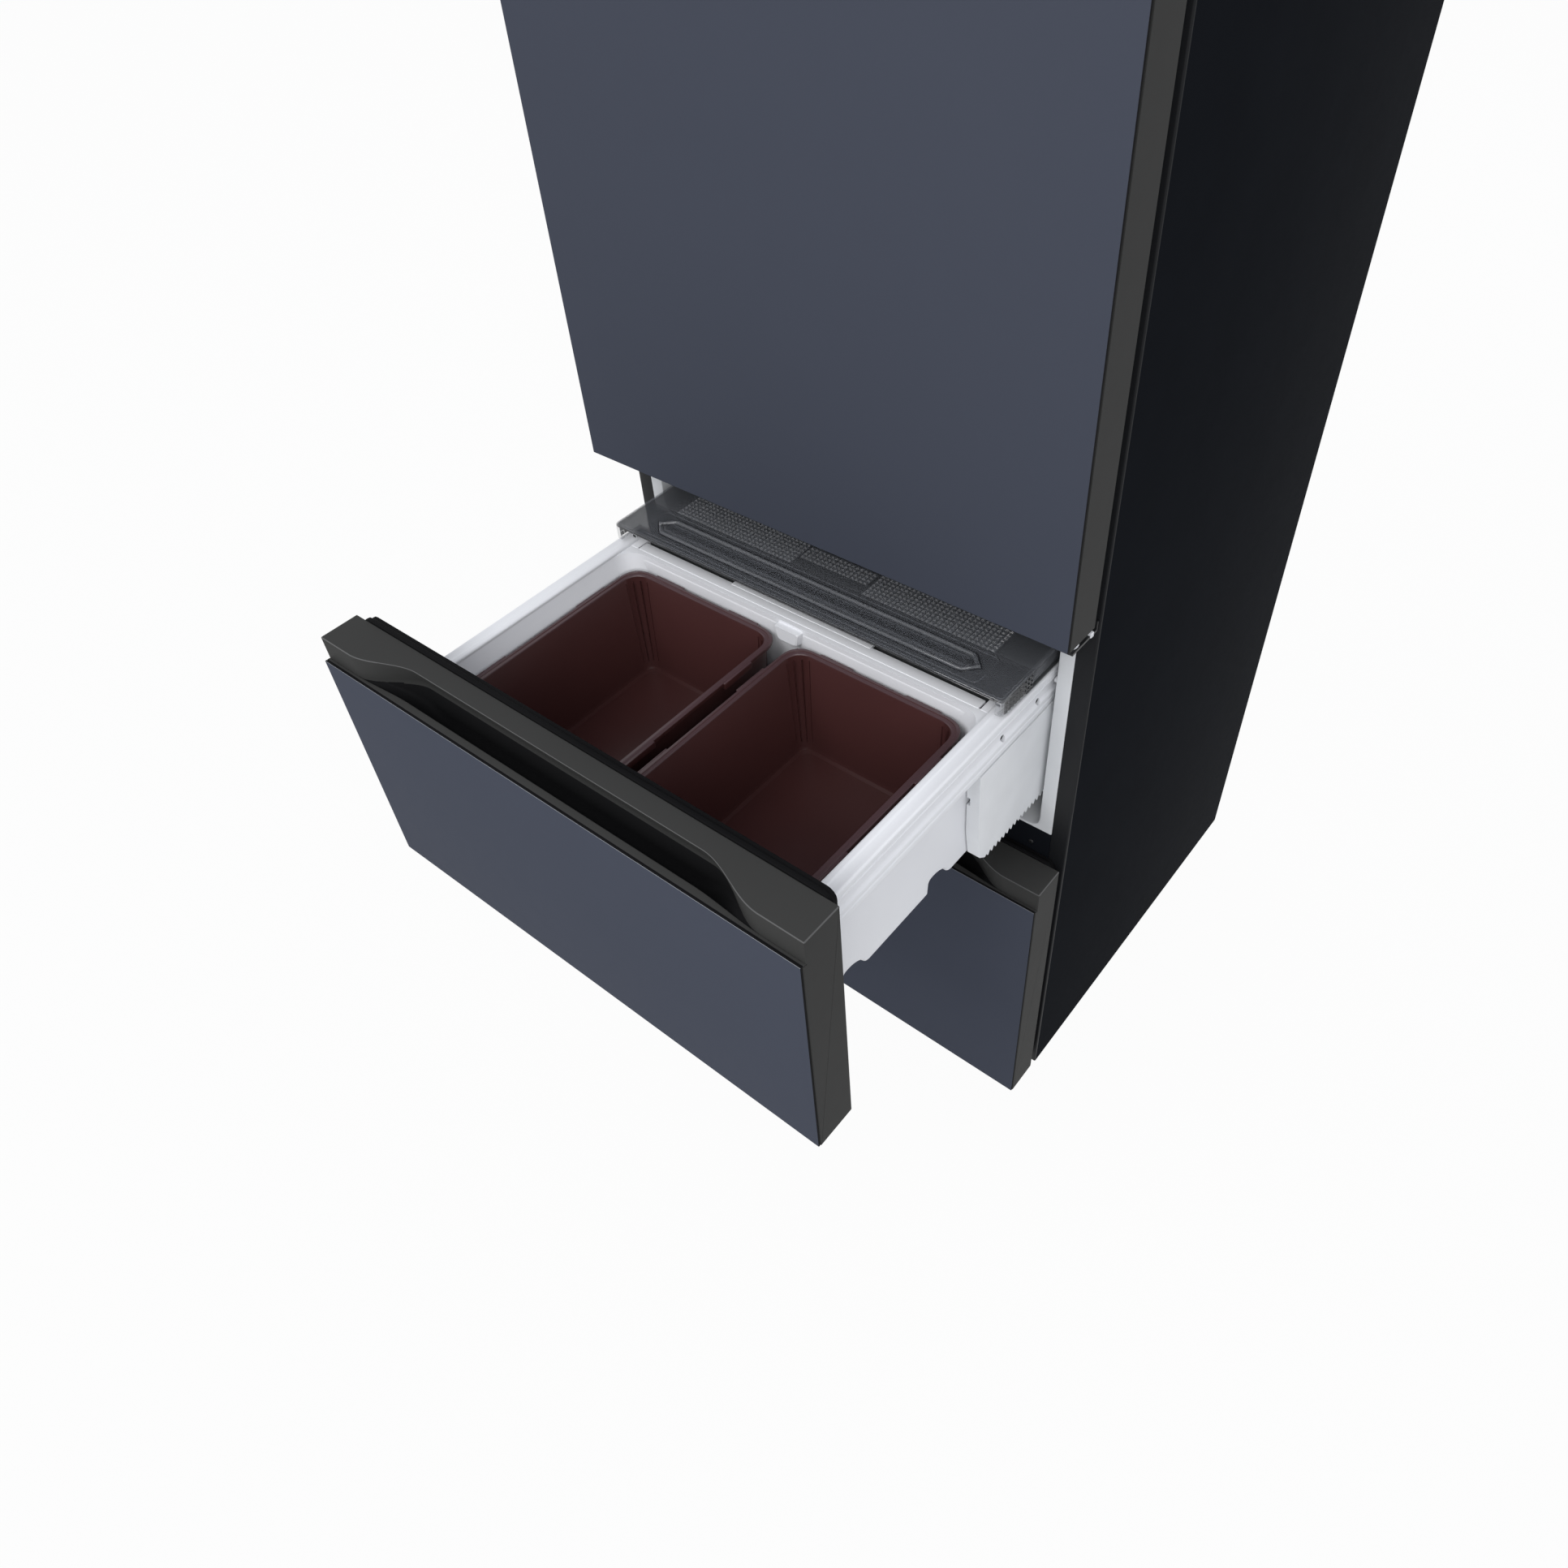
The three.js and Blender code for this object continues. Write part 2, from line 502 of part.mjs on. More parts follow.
// The S-shaped finger scoop: 0 beside it, 1 where it is deepest
const SCOOP = { start: 296, full: 208, setback: 61.4, edge: 37, floorDrop: 69, lip: 56 };

function scoopDepth(x) {
  const t = THREE.MathUtils.clamp((SCOOP.start - Math.abs(x)) / (SCOOP.start - SCOOP.full), 0, 1);
  return t * t * (3 - 2 * t);
}

// What the scoop removes at one place along the front: the open step over the ledge, then the pocket behind it
function scoopSection(x, top) {
  const depth = scoopDepth(x);
  const ledge = top - LEDGE_DROP;
  const sink = (drop) => ledge - 0.5 - depth * (drop - 0.5);
  const back = (y) => THREE.MathUtils.lerp(-SCOOP.setback, y, depth);
  const floor = SCOOP.floorDrop - LEDGE_DROP;
  const outline = [
    [-80, ledge], [Math.min(back(-SCOOP.lip), -SCOOP.setback + depth * 5.4) - 0.4, ledge],
    [back(-SCOOP.lip) - 0.4, sink(floor * 0.7)], [back(-50) - 0.3, sink(floor)],
    [back(-36) - 0.1, sink(floor)], [back(-28), sink(floor * 0.75)], [back(-26), ledge + 0.2],
    [back(-30), top - LEDGE_DROP * 0.4], [back(-SCOOP.edge), top], [back(-SCOOP.edge), top + 5], [-80, top + 5],
  ];
  return outline.map(([y, z]) => new THREE.Vector3(x, y, z));
}

function scoopCutter(top) {
  const stations = [HALF + 1, SCOOP.start];
  for (let i = 1; i < 8; i += 1) stations.push(SCOOP.start + ((SCOOP.full - SCOOP.start) * i) / 8);
  stations.push(SCOOP.full);
  const across = [...stations, ...stations.slice().reverse().map((x) => -x)];
  return loft(across.map((x) => scoopSection(x, top)));
}

function drawerCase({ bottom, top }) {
  const body = wide(HALF, [CASE_FACE, FRONT_BACK], [bottom, top]);
  const hollow = wide(HALF - CASE_WALL, [CASE_FACE - 1, FRONT_BACK - CASE_WALL], [bottom + CASE_WALL, top - SCOOP.floorDrop - 4]);
  return cut(body, hollow, scoopCutter(top));
}

function drawerFoam({ bottom, top }) {
  const inset = CASE_WALL + GAP;
  return wide(HALF - inset, [CASE_FACE + GAP, FRONT_BACK - inset], [bottom + inset, top - SCOOP.floorDrop - 4 - GAP]);
}

const frontPanel = (bottom, top) => wide(HALF, [FRONT_FACE, CASE_FACE - GAP], [bottom, top]);

// ---------------------------------------------------------------- drawer bins and containers

const TUB_FRONT = FRONT_BACK + GAP;
const CHANNEL_STARTS = [67, 226]; // cross channels in the tub's floor
const CHANNEL = { length: 38, height: 22 };
const FLOOR_WALL = 3;

// The tub's floor line from front to back, with its two cross channels, set in or out by a wall
function floorLine(z, wall) {
  return CHANNEL_STARTS.flatMap((y) => [
    [y - wall - 3, z], [y - wall, z + 4], [y - wall, z + CHANNEL.height], [y + 16 + wall, z + CHANNEL.height],
    [y + 30 + wall, z + CHANNEL.height * 0.7], [y + CHANNEL.length + wall, z],
  ]);
}

function tubOutline(front, back, z, topZ, wall) {
  return [[front, topZ], [front, z], ...floorLine(z, wall), [back, z], [back, topZ]].reverse();
}

function drawerBin({ top, tubBottom }) {
  const rim = top - RIM_DROP;
  const bandBottom = rim - BAND_HEIGHT;
  const tub = prism(tubOutline(TUB_FRONT, TUB_BACK, tubBottom, rim - 4, 0), 'x', [-TUB_HALF, TUB_HALF]);
  const band = join(
    wide(BAND_HALF, [TUB_FRONT, TUB_BACK], [bandBottom, rim]),
    ...SIDES.map(([, side]) => block([side * CAVITY_HALF, side * BAND_HALF], [TUB_FRONT, BAND_BACK], [bandBottom, rim])),
    wide(CAVITY_HALF + 1, [TUB_BACK - 1, 354], [bandBottom, rim - 4]),
    block([-111, 105], [353, 361], [rim - 8, rim - 4]),
  );
  const cavity = prism(tubOutline(-5, 332, tubBottom + FLOOR_WALL, rim + 5, FLOOR_WALL), 'x', [-CAVITY_HALF, CAVITY_HALF])
    .intersect(prism(roundedRectangle([-CAVITY_HALF, CAVITY_HALF], [-5, 332], 30), 'z', [tubBottom, rim + 6]));
  const underRim = [
    ...SIDES.map(([, side]) => block([side * (TUB_HALF + 2), side * (BAND_HALF - 2.5)], [TUB_FRONT + 3, BAND_BACK - 3],
      [bandBottom - 1, rim - 4])),
    wide(CAVITY_HALF - 10, [TUB_BACK, 351], [bandBottom - 1, rim - 8]),
  ];
  const ribTop = top - GROOVE.drop - 1;
  const rear = SIDES.flatMap(([, side]) => [
    block([side * CAVITY_HALF, side * TUB_HALF], [TUB_BACK - 2, BAND_BACK], [ribTop - 14, bandBottom + 1]),
    block([side * (TUB_HALF - 1), side * (TUB_HALF + 5)], [345, 525], [ribTop - 10, ribTop]),
    block([side * 264.3, side * (CAVITY_HALF + 1)], [TUB_BACK - 1, BAND_BACK], [rim - 22, rim - 4]),
    block([side * 254, side * 266], [353, BAND_BACK], [rim - 22, rim - 16.3]),
  ]);
  return join(cut(join(tub, band), cavity, ...underRim), ...rear);
}

function rearDeck({ top }) {
  const rim = top - RIM_DROP;
  const plate = wide(264, [361.3, 530], [rim - 16, rim - 8]);
  const grooves = [390, 420, 450, 480].map((y) => wide(240, [y, y + 4], [rim - 9.5, rim]));
  return cut(plate, ...grooves);
}

const TUB_SIZE = { inner: 11, outer: 260, front: -1.5, back: 326, flange: 6, radius: 30, wall: 2.5 };

function container({ top, tubBottom }, side) {
  const rim = top - CONTAINER_DROP;
  const base = tubBottom + FLOOR_WALL + CHANNEL.height + GAP;
  const { inner, outer, front, back, flange, radius, wall } = TUB_SIZE;
  const outline = (inset, r) => roundedRectangle(
    [side > 0 ? inner + inset : -outer + inset, side > 0 ? outer - inset : -inner - inset],
    [front + inset, back - inset], r);
  const body = loft([level(outline(flange + 10, radius - 8), base), level(outline(flange + 7, radius - 7), base + 5),
    level(outline(flange, radius - 3), rim - 1)]);
  const lip = prism(outline(0, radius), 'z', [rim - 6, rim]);
  const hollow = loft([level(outline(flange + 10 + wall, radius - 10), base + wall), level(outline(flange + wall, radius - 5), rim + 1)]);
  const middleX = side * ((inner + outer) / 2);
  const tabs = [80, 245].flatMap((y) => [[inner - 2.5, inner + 2], [outer - 2, outer + 2.5]].map(([a, b]) => block(
    [side * a, side * b], [y - 24, y + 24], [rim - 9, rim - 1])));
  const endTabs = [-62, 62].map((dx) => block([middleX + dx - 24, middleX + dx + 24], [back - 2, back + 2.5], [rim - 9, rim - 1]));
  return cut(join(body, lip, ...tabs, ...endTabs), hollow);
}

// ---------------------------------------------------------------- cover, slides and pinions

function slidingCover({ top }) {
  const z = top - COVER_DROP;
  const back = COVER.front + COVER.length;
  const plan = [[-COVER.half, back], [-COVER.half, COVER.front + 10], [-COVER.half + 10, COVER.front],
    [COVER.half - 10, COVER.front], [COVER.half, COVER.front + 10], [COVER.half, back]];
  const plate = prism(plan, 'z', [z - COVER.plate, z]);
  const inside = (grow) => wide(COVER.half - 2.5, [COVER.front + 2.5, back + 1], [z - grow, z - COVER.plate + 0.5]);
  const frontSkirt = cut(prism(plan.map(([x, y]) => [x, Math.min(y, COVER.front + 70)]), 'z', [z - 23, z - 1]), inside(30));
  const lipCut = wide(COVER.half - 2.5, [COVER.front - 1, COVER.front + 5], [z - 30, z - COVER.lip]);
  const sideSkirts = SIDES.map(([, side]) => block([side * (COVER.half - 2.5), side * COVER.half], [COVER.front + 60, back], [z - 16, z - 1]));
  const lugs = SIDES.map(([, side]) => block([side * (COVER.half - 1), side * (COVER.half + 5)], [171, 411], [z - 15, z - 9]));
  const lens = prism([[-246, 45], [-228, 27], [228, 27], [246, 45], [228, 63], [-228, 63]], 'z', [z - 1, z + 2.5]);
  return join(plate, cut(frontSkirt, lipCut), ...sideSkirts, ...lugs, lens);
}

// One slide: a tall plate with a rack along its lower edge, a tongue for the cabinet's ribs on the
// outside and a groove for the bin's rib on the inside
function toothedSlide(drawer, side) {
  const bottom = drawer.slideBottom;
  const plateTop = drawer.top - SLIDE_DROP;
  const { front, length, inner, outer } = SLIDE;
  const back = front + length;
  const rackBack = drawer === LOWER ? SLIDE_TALL_BACK : back;
  const root = bottom + ADDENDUM + DEDENDUM;
  const outline = [[front, plateTop], [front + 4, root + 46], [front + 10, root + 6], [front + 22, root - 4]];
  for (let y = front + 26; y < rackBack - TOOTH_PITCH; y += TOOTH_PITCH) {
    outline.push([y, root], [y + 0.27 * TOOTH_PITCH, bottom], [y + 0.47 * TOOTH_PITCH, bottom], [y + 0.74 * TOOTH_PITCH, root]);
  }
  outline.push([rackBack, root]);
  if (drawer === LOWER) outline.push([rackBack, STEP.top + 5], [back, STEP.top + 5]);
  outline.push([back, plateTop]);
  const xSpan = [side * inner, side * outer].sort((a, b) => a - b);
  const plate = prism(outline, 'x', xSpan);
  const tongueTop = drawer.top - TONGUE.drop;
  const tongue = block([side * (outer - 1), side * (outer + TONGUE.out)], [front + TONGUE.start, back],
    [tongueTop - TONGUE.height, tongueTop]);
  const grooveTop = drawer.top - GROOVE.drop;
  const groove = block([side * (inner - 1), side * (inner + GROOVE.depth)], [front - 1, back + 1],
    [grooveTop - GROOVE.height, grooveTop]);
  return cut(join(plate, tongue), groove);
}

// Rack and pinion are in mesh at rest when a rack tooth's middle stands over the shaft by this phase
function pinionPhase(drawer) {
  const firstTooth = SLIDE.front + 26 + 0.37 * TOOTH_PITCH - drawer.open * SLIDE_TRAVEL;
  const offset = (SHAFT_Y - firstTooth) / TOOTH_PITCH;
  const toNextTooth = (Math.ceil(offset) - offset) * TOOTH_PITCH;
  return toNextTooth / PITCH_RADIUS;
}

function pinionShaft(drawer) {
  const z = shaftHeight(drawer);
  const step = (2 * Math.PI) / TEETH;
  const rootRadius = PITCH_RADIUS - DEDENDUM;
  const tipRadius = PITCH_RADIUS + ADDENDUM;
  const outline = [];
  for (let i = 0; i < TEETH; i += 1) {
    const middle = Math.PI / 2 - pinionPhase(drawer) + (i + 0.5) * step;
    const at = (radius, share) => [SHAFT_Y + radius * Math.cos(middle + share * step), z + radius * Math.sin(middle + share * step)];
    outline.push(at(rootRadius, -0.3), at(PITCH_RADIUS, -0.2), at(tipRadius, -0.08), at(tipRadius, 0.08),
      at(PITCH_RADIUS, 0.2), at(rootRadius, 0.3));
  }
  const gears = SIDES.map(([, side]) => prism(outline, 'x', [side * 282, side * 298].sort((a, b) => a - b)));
  const journals = SIDES.map(([, side]) => bar('x', BEARING.journal, [SHAFT_Y, z],
    [side * 290, side * BEARING.journalEnd].sort((a, b) => a - b)));
  return join(bar('x', 5, [SHAFT_Y, z], [-290, 290]), ...gears, ...journals);
}

// ---------------------------------------------------------------- assembly

function buildCabinet(group) {
  piece(group, 'outer_casing', outerCasing(), BLACK_STEEL);
  piece(group, 'rear_panel', rearPanel(), ZINC);
  piece(group, 'base_pan', basePan(), DARK_METAL);
  piece(group, 'cabinet_foam', cabinetFoam(), FOAM);
  piece(group, 'upper_liner', upperLiner(), LINER_WHITE);
  piece(group, 'middle_liner', middleLiner(), LINER_WHITE);
  piece(group, 'lower_liner', lowerLiner(), LINER_WHITE);
  piece(group, 'upper_mullion', mullion(MIDDLE_ROOM, UPPER_ROOM), BLACK_STEEL);
  piece(group, 'lower_mullion', mullion(LOWER_ROOM, MIDDLE_ROOM), BLACK_STEEL);
  for (const [label, side] of SIDES) {
    piece(group, `front_foot_${label}`, levellingFoot(side, 60), SEAL_BLACK);
    piece(group, `rear_foot_${label}`, levellingFoot(side, 575), SEAL_BLACK);
  }
  piece(group, 'compressor', compressor(), DARK_METAL);
  piece(group, 'condenser_coil', finBlock([-290, -235], [450, 600], [40, 230], 8, 3, 'y'), COPPER);
  piece(group, 'fan_shroud', fanShroud(), DECK_GREY);
  piece(group, 'condenser_fan_rotor', fanRotor('x', CONDENSER_FAN, 5), WHITE_PLASTIC);
  piece(group, 'machine_room_cover', machineRoomCover(), ZINC);
  piece(group, 'top_hinge_bracket', topHingeBracket(), ZINC);
  piece(group, 'top_hinge_cover', topHingeCover(), CHARCOAL);
  piece(group, 'middle_hinge_bracket', middleHingeBracket(), DARK_METAL);
}

function buildUpperRoom(group) {
  piece(group, 'duct_cover', ductCover(), WHITE_PLASTIC);
  piece(group, 'evaporator', finBlock([-230, 230], [536, 561], [960, 1400], 10, 3, 'x'), ALUMINIUM);
  piece(group, 'evaporator_fan_rotor', fanRotor('y', EVAPORATOR_FAN, 5), WHITE_PLASTIC);
  SHELF_HEIGHTS.forEach((z, i) => {
    piece(group, `glass_shelf_${i + 1}`, wide(SHELF.half, [SHELF.front, SHELF.back], [z, z + SHELF.thickness]), CLEAR_GLASS);
  });
  piece(group, 'interior_lamp', wide(60, [150, 210], [UPPER_ROOM.top - 7, UPPER_ROOM.top - GAP]), LAMP);
}

function buildDoor(group) {
  piece(group, 'upper_door_panel', frontPanel(DOOR.bottom, DOOR.top), NAVY_PANEL);
  piece(group, 'upper_door_case', doorCase(), CHARCOAL);
  piece(group, 'upper_door_foam', doorFoam(), FOAM);
  piece(group, 'upper_door_liner', doorLiner(), LINER_WHITE);
  piece(group, 'upper_door_gasket', sealRing(908, 1829, 334, 14), SEAL_BLACK);
  [970, 1230, 1490].forEach((z, i) => piece(group, `door_bin_${i + 1}`, doorBin(z), WHITE_PLASTIC));
}

// One drawer with its cover, slides and shaft, all in the shut place before the open ones are moved out
function buildDrawer(root, drawer) {
  const { name, bottom, top, open } = drawer;
  const [body, cover, slides] = [DRAWER_TRAVEL, COVER_TRAVEL, SLIDE_TRAVEL].map((travel) => {
    const group = new THREE.Group();
    group.position.y = -open * travel;
    root.add(group);
    return group;
  });
  piece(body, `${name}_front_panel`, frontPanel(bottom, top - LEDGE_DROP), NAVY_PANEL);
  piece(body, `${name}_front_case`, drawerCase(drawer), CHARCOAL);
  piece(body, `${name}_front_foam`, drawerFoam(drawer), FOAM);
  piece(body, `${name}_gasket`, sealRing(bottom + 6, top + 2, 338, 14), SEAL_BLACK);
  piece(body, `${name}_bin`, drawerBin(drawer), WHITE_PLASTIC);
  piece(body, `${name}_rear_deck`, rearDeck(drawer), DECK_GREY);
  for (const [label, side] of SIDES) {
    piece(body, `${name}_container_${label}`, container(drawer, side), BURGUNDY);
    piece(slides, `${name}_slide_${label}`, toothedSlide(drawer, side), SLIDE_WHITE);
  }
  piece(cover, `${name}_cover`, slidingCover(drawer), SMOKE_CLEAR);
  piece(root, `${name}_pinion_shaft`, pinionShaft(drawer), GEAR_GREY);
}

const refrigerator = new THREE.Group();
const fromFrontPlane = new THREE.Group();
fromFrontPlane.position.y = -CENTRE_Y;
refrigerator.add(fromFrontPlane);
buildCabinet(fromFrontPlane);
buildUpperRoom(fromFrontPlane);
buildDoor(fromFrontPlane);
buildDrawer(fromFrontPlane, MIDDLE);
buildDrawer(fromFrontPlane, LOWER);

export default refrigerator;
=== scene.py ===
# %% [markdown]
# # A three-door kimchi refrigerator
# The real one is a tall steel box with a hinged door above two deep drawers. Its CAD solids give
# every place and size. This lesson dresses them: the surfaces that are looked at get new meshes
# with eased edges, and everything gets a node material.

# %% Load the solids
import json
import math

import bmesh
import bpy
from mathutils import Matrix, Vector


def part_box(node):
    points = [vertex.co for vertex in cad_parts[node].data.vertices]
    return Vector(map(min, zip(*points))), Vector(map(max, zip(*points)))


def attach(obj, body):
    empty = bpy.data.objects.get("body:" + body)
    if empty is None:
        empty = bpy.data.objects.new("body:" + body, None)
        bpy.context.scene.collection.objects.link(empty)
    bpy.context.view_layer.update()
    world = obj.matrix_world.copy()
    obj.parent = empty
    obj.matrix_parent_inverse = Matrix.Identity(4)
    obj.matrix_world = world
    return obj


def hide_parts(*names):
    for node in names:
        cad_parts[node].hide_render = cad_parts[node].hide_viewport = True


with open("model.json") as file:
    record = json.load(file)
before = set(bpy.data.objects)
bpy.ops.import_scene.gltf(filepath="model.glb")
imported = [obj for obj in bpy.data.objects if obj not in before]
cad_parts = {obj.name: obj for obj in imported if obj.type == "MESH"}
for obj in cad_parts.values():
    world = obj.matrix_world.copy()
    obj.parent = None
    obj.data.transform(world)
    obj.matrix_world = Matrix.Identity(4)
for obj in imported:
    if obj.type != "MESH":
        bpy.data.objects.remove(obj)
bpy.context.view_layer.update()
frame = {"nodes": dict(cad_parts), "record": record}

# %% [markdown]
# ## Where things are
# A cabinet is drawn from its front plane, with everything shut and in millimetres, because that is
# how it is measured. The file's own frame is in metres and has the middle drawer pulled out. So
# each piece is drawn in the drawing's way, and is moved once, when it is finished.

# %% Units and places
MM = 0.001
FRONT_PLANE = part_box("outer_casing")[0].y / MM
PULLED = {"middle_drawer": 432, "middle_slides": 216, "middle_drawer_cover": 111}
HALF = 347.5
FRONT_FACE, FRONT_BACK = -68.2, -12.6
PANEL_BACK = -65.6
DOOR = {"bottom": 904, "top": 1840}
MIDDLE = {"name": "middle", "bottom": 532.3, "top": 884.9, "tub": 607, "slide": 598}
LOWER = {"name": "lower", "bottom": 30, "top": 504.4, "tub": 132, "slide": 122.8}
SIDES = (("left", -1), ("right", 1))
print("front plane at y =", round(FRONT_PLANE, 1), "mm")

# %% [markdown]
# ## The camera
# The photograph looks down on the open drawer from the right, quite near, so its perspective is
# strong. The camera's three axes and its place were worked out from the straight edges of the
# fronts, and its small shift is the offset of the picture's middle.

# %% Camera
camera = bpy.data.objects.new("camera", bpy.data.cameras.new("camera"))
bpy.context.scene.collection.objects.link(camera)
to_right = Vector((0.7756, 0.6287, -0.0560))
to_up = Vector((-0.4165, 0.5765, 0.7029))
to_right.normalize()
to_up = (to_up - to_right * to_up.dot(to_right)).normalized()
turned = Matrix((to_right, to_up, to_right.cross(to_up))).transposed().to_4x4()
camera.matrix_world = Matrix.Translation((0.75716, -0.98377, 1.70050)) @ turned
camera.data.lens = 27.35
camera.data.sensor_width = 36
camera.data.shift_x = -0.01506
camera.data.shift_y = -0.01727
camera.data.clip_end = 60
bpy.context.scene.camera = camera
bpy.context.scene.view_settings.view_transform = "Standard"

# %% [markdown]
# ## Floor and light
# A catalogue picture stands on nothing but white. The floor is a pale diffuse surface that shows
# most of its white to the camera only, so it doesn't throw extra light on the object, and it
# keeps the soft shadow. Two broad lamps and a plain world give the soft light.

# %% Studio


def only_for_view(nodes, links):
    """1 where a ray comes from the eye, or from a mirror or glass on the way to the eye."""
    path = nodes.new("ShaderNodeLightPath")
    total = None
    for ray in ("Is Camera Ray", "Is Glossy Ray", "Is Transmission Ray"):
        if total is None:
            total = path.outputs[ray]
            continue
        add = nodes.new("ShaderNodeMath")
        add.operation = "MAXIMUM"
        links.new(total, add.inputs[0])
        links.new(path.outputs[ray], add.inputs[1])
        total = add.outputs[0]
    return total


def white_floor():
    material = bpy.data.materials.new("studio_floor")
    material.use_nodes = True
    nodes, links = material.node_tree.nodes, material.node_tree.links
    nodes.clear()
    diffuse = nodes.new("ShaderNodeBsdfDiffuse")
    diffuse.inputs["Color"].default_value = (0.46, 0.46, 0.46, 1)
    glow = nodes.new("ShaderNodeEmission")
    share = nodes.new("ShaderNodeMath")
    share.operation = "MULTIPLY"
    share.inputs[1].default_value = 0.96
    links.new(only_for_view(nodes, links), share.inputs[0])
    mix = nodes.new("ShaderNodeMixShader")
    links.new(share.outputs[0], mix.inputs[0])
    links.new(diffuse.outputs[0], mix.inputs[1])
    links.new(glow.outputs[0], mix.inputs[2])
    out = nodes.new("ShaderNodeOutputMaterial")
    links.new(mix.outputs[0], out.inputs[0])
    return material


floor_mesh = bmesh.new()
bmesh.ops.create_grid(floor_mesh, x_segments=1, y_segments=1, size=20)
floor_data = bpy.data.meshes.new("floor")
floor_mesh.to_mesh(floor_data)
floor_mesh.free()
floor_data.materials.append(white_floor())
studio_floor = bpy.data.objects.new("floor", floor_data)
bpy.context.scene.collection.objects.link(studio_floor)

world = bpy.data.worlds.new("studio")
bpy.context.scene.world = world
world.use_nodes = True
sky = world.node_tree
sky.nodes.clear()
plain = sky.nodes.new("ShaderNodeBackground")
plain.inputs["Color"].default_value = (0.93, 0.95, 1, 1)
plain.inputs["Strength"].default_value = 0.78
bright = sky.nodes.new("ShaderNodeBackground")
bright.inputs["Color"].default_value = (1, 1, 1, 1)
bright.inputs["Strength"].default_value = 1
sky_mix = sky.nodes.new("ShaderNodeMixShader")
sky.links.new(only_for_view(sky.nodes, sky.links), sky_mix.inputs[0])
sky.links.new(plain.outputs[0], sky_mix.inputs[1])
sky.links.new(bright.outputs[0], sky_mix.inputs[2])
sky_out = sky.nodes.new("ShaderNodeOutputWorld")
sky.links.new(sky_mix.outputs[0], sky_out.inputs[0])

LAMPS = (
    ("key_lamp", (-0.6, -5.4, 6.4), 4.4, 215),
    ("fill_lamp", (3.2, -3.6, 3.4), 2.6, 70),
    ("rear_lamp", (0.2, 4.4, 3.4), 3, 44),
)
for name, place, size, power in LAMPS:
    lamp = bpy.data.lights.new(name, "AREA")
    lamp.size = size
    lamp.energy = power
    lamp_object = bpy.data.objects.new(name, lamp)
    aim = Vector((0, 0, 0.8)) - Vector(place)
    lamp_object.matrix_world = Matrix.Translation(place) @ aim.to_track_quat("-Z", "Y").to_matrix().to_4x4()
    bpy.context.scene.collection.objects.link(lamp_object)
print("lamps", len(LAMPS))

# %% [markdown]
# ## Finishes
# Moulded plastic, painted steel and rubber differ in colour, gloss and grain. One helper makes
# them all: a fine noise gives the grain as bump, and a broad noise shifts the tone and the gloss a
# little, as real mouldings do. Sizes are in millimetres so that they can be read off the real thing.

# %% The finish helper


def linear(level):
    return level / 12.92 if level <= 0.04045 else ((level + 0.055) / 1.055) ** 2.4


def colour(red, green, blue):
    """A screen colour of 0 to 255 as the renderer's own linear colour."""
    return (linear(red / 255), linear(green / 255), linear(blue / 255), 1)


def noise(nodes, links, place, size_mm, detail=2.0):
    texture = nodes.new("ShaderNodeTexNoise")
    texture.inputs["Scale"].default_value = 1 / (size_mm * MM)
    texture.inputs["Detail"].default_value = detail
    links.new(place, texture.inputs["Vector"])
    return texture.outputs["Fac"]


def spread(nodes, links, value, low, high):
    """Takes the middle part of a noise to the span from low to high."""
    fit = nodes.new("ShaderNodeMapRange")
    fit.inputs["From Min"].default_value = 0.3
    fit.inputs["From Max"].default_value = 0.7
    fit.inputs["To Min"].default_value = low
    fit.inputs["To Max"].default_value = high
    links.new(value, fit.inputs["Value"])
    return fit.outputs[0]


def finish(slot, rgb, rough, grain_mm=0.6, depth_mm=0.02, tone=0.05, metal=0.0, broad_mm=90, specular=0.5):
    material = bpy.data.materials.new(slot + "_finish")
    material["slot"] = slot
    material.use_nodes = True
    nodes, links = material.node_tree.nodes, material.node_tree.links
    shader = nodes["Principled BSDF"]
    place = nodes.new("ShaderNodeTexCoord").outputs["Object"]
    base = colour(*rgb)
    mix = nodes.new("ShaderNodeMix")
    mix.data_type = "RGBA"
    mix.inputs["A"].default_value = tuple(c * (1 - tone) for c in base[:3]) + (1,)
    mix.inputs["B"].default_value = tuple(min(1, c * (1 + tone)) for c in base[:3]) + (1,)
    links.new(spread(nodes, links, noise(nodes, links, place, broad_mm), 0, 1), mix.inputs["Factor"])
    links.new(mix.outputs["Result"], shader.inputs["Base Color"])
    gloss = noise(nodes, links, place, broad_mm / 6, 3)
    links.new(spread(nodes, links, gloss, rough - 0.012, rough + 0.012), shader.inputs["Roughness"])
    bump = nodes.new("ShaderNodeBump")
    bump.inputs["Strength"].default_value = 1
    bump.inputs["Distance"].default_value = depth_mm * MM
    links.new(noise(nodes, links, place, grain_mm, 1), bump.inputs["Height"])
    links.new(bump.outputs["Normal"], shader.inputs["Normal"])
    shader.inputs["Metallic"].default_value = metal
    shader.inputs["Specular IOR Level"].default_value = specular
    return material


def see_through(material, cover, index):
    """Each face covers only its share of what is behind; a high index gives that share the full gloss of a pane."""
    shader = material.node_tree.nodes["Principled BSDF"]
    shader.inputs["Alpha"].default_value = cover
    shader.inputs["IOR"].default_value = index
    return material


# %% [markdown]
# The colours are those the object shows under plain light: blue-grey fronts, warm charcoal
# frames, a near-black steel side, cool white mouldings and dark red-brown containers.

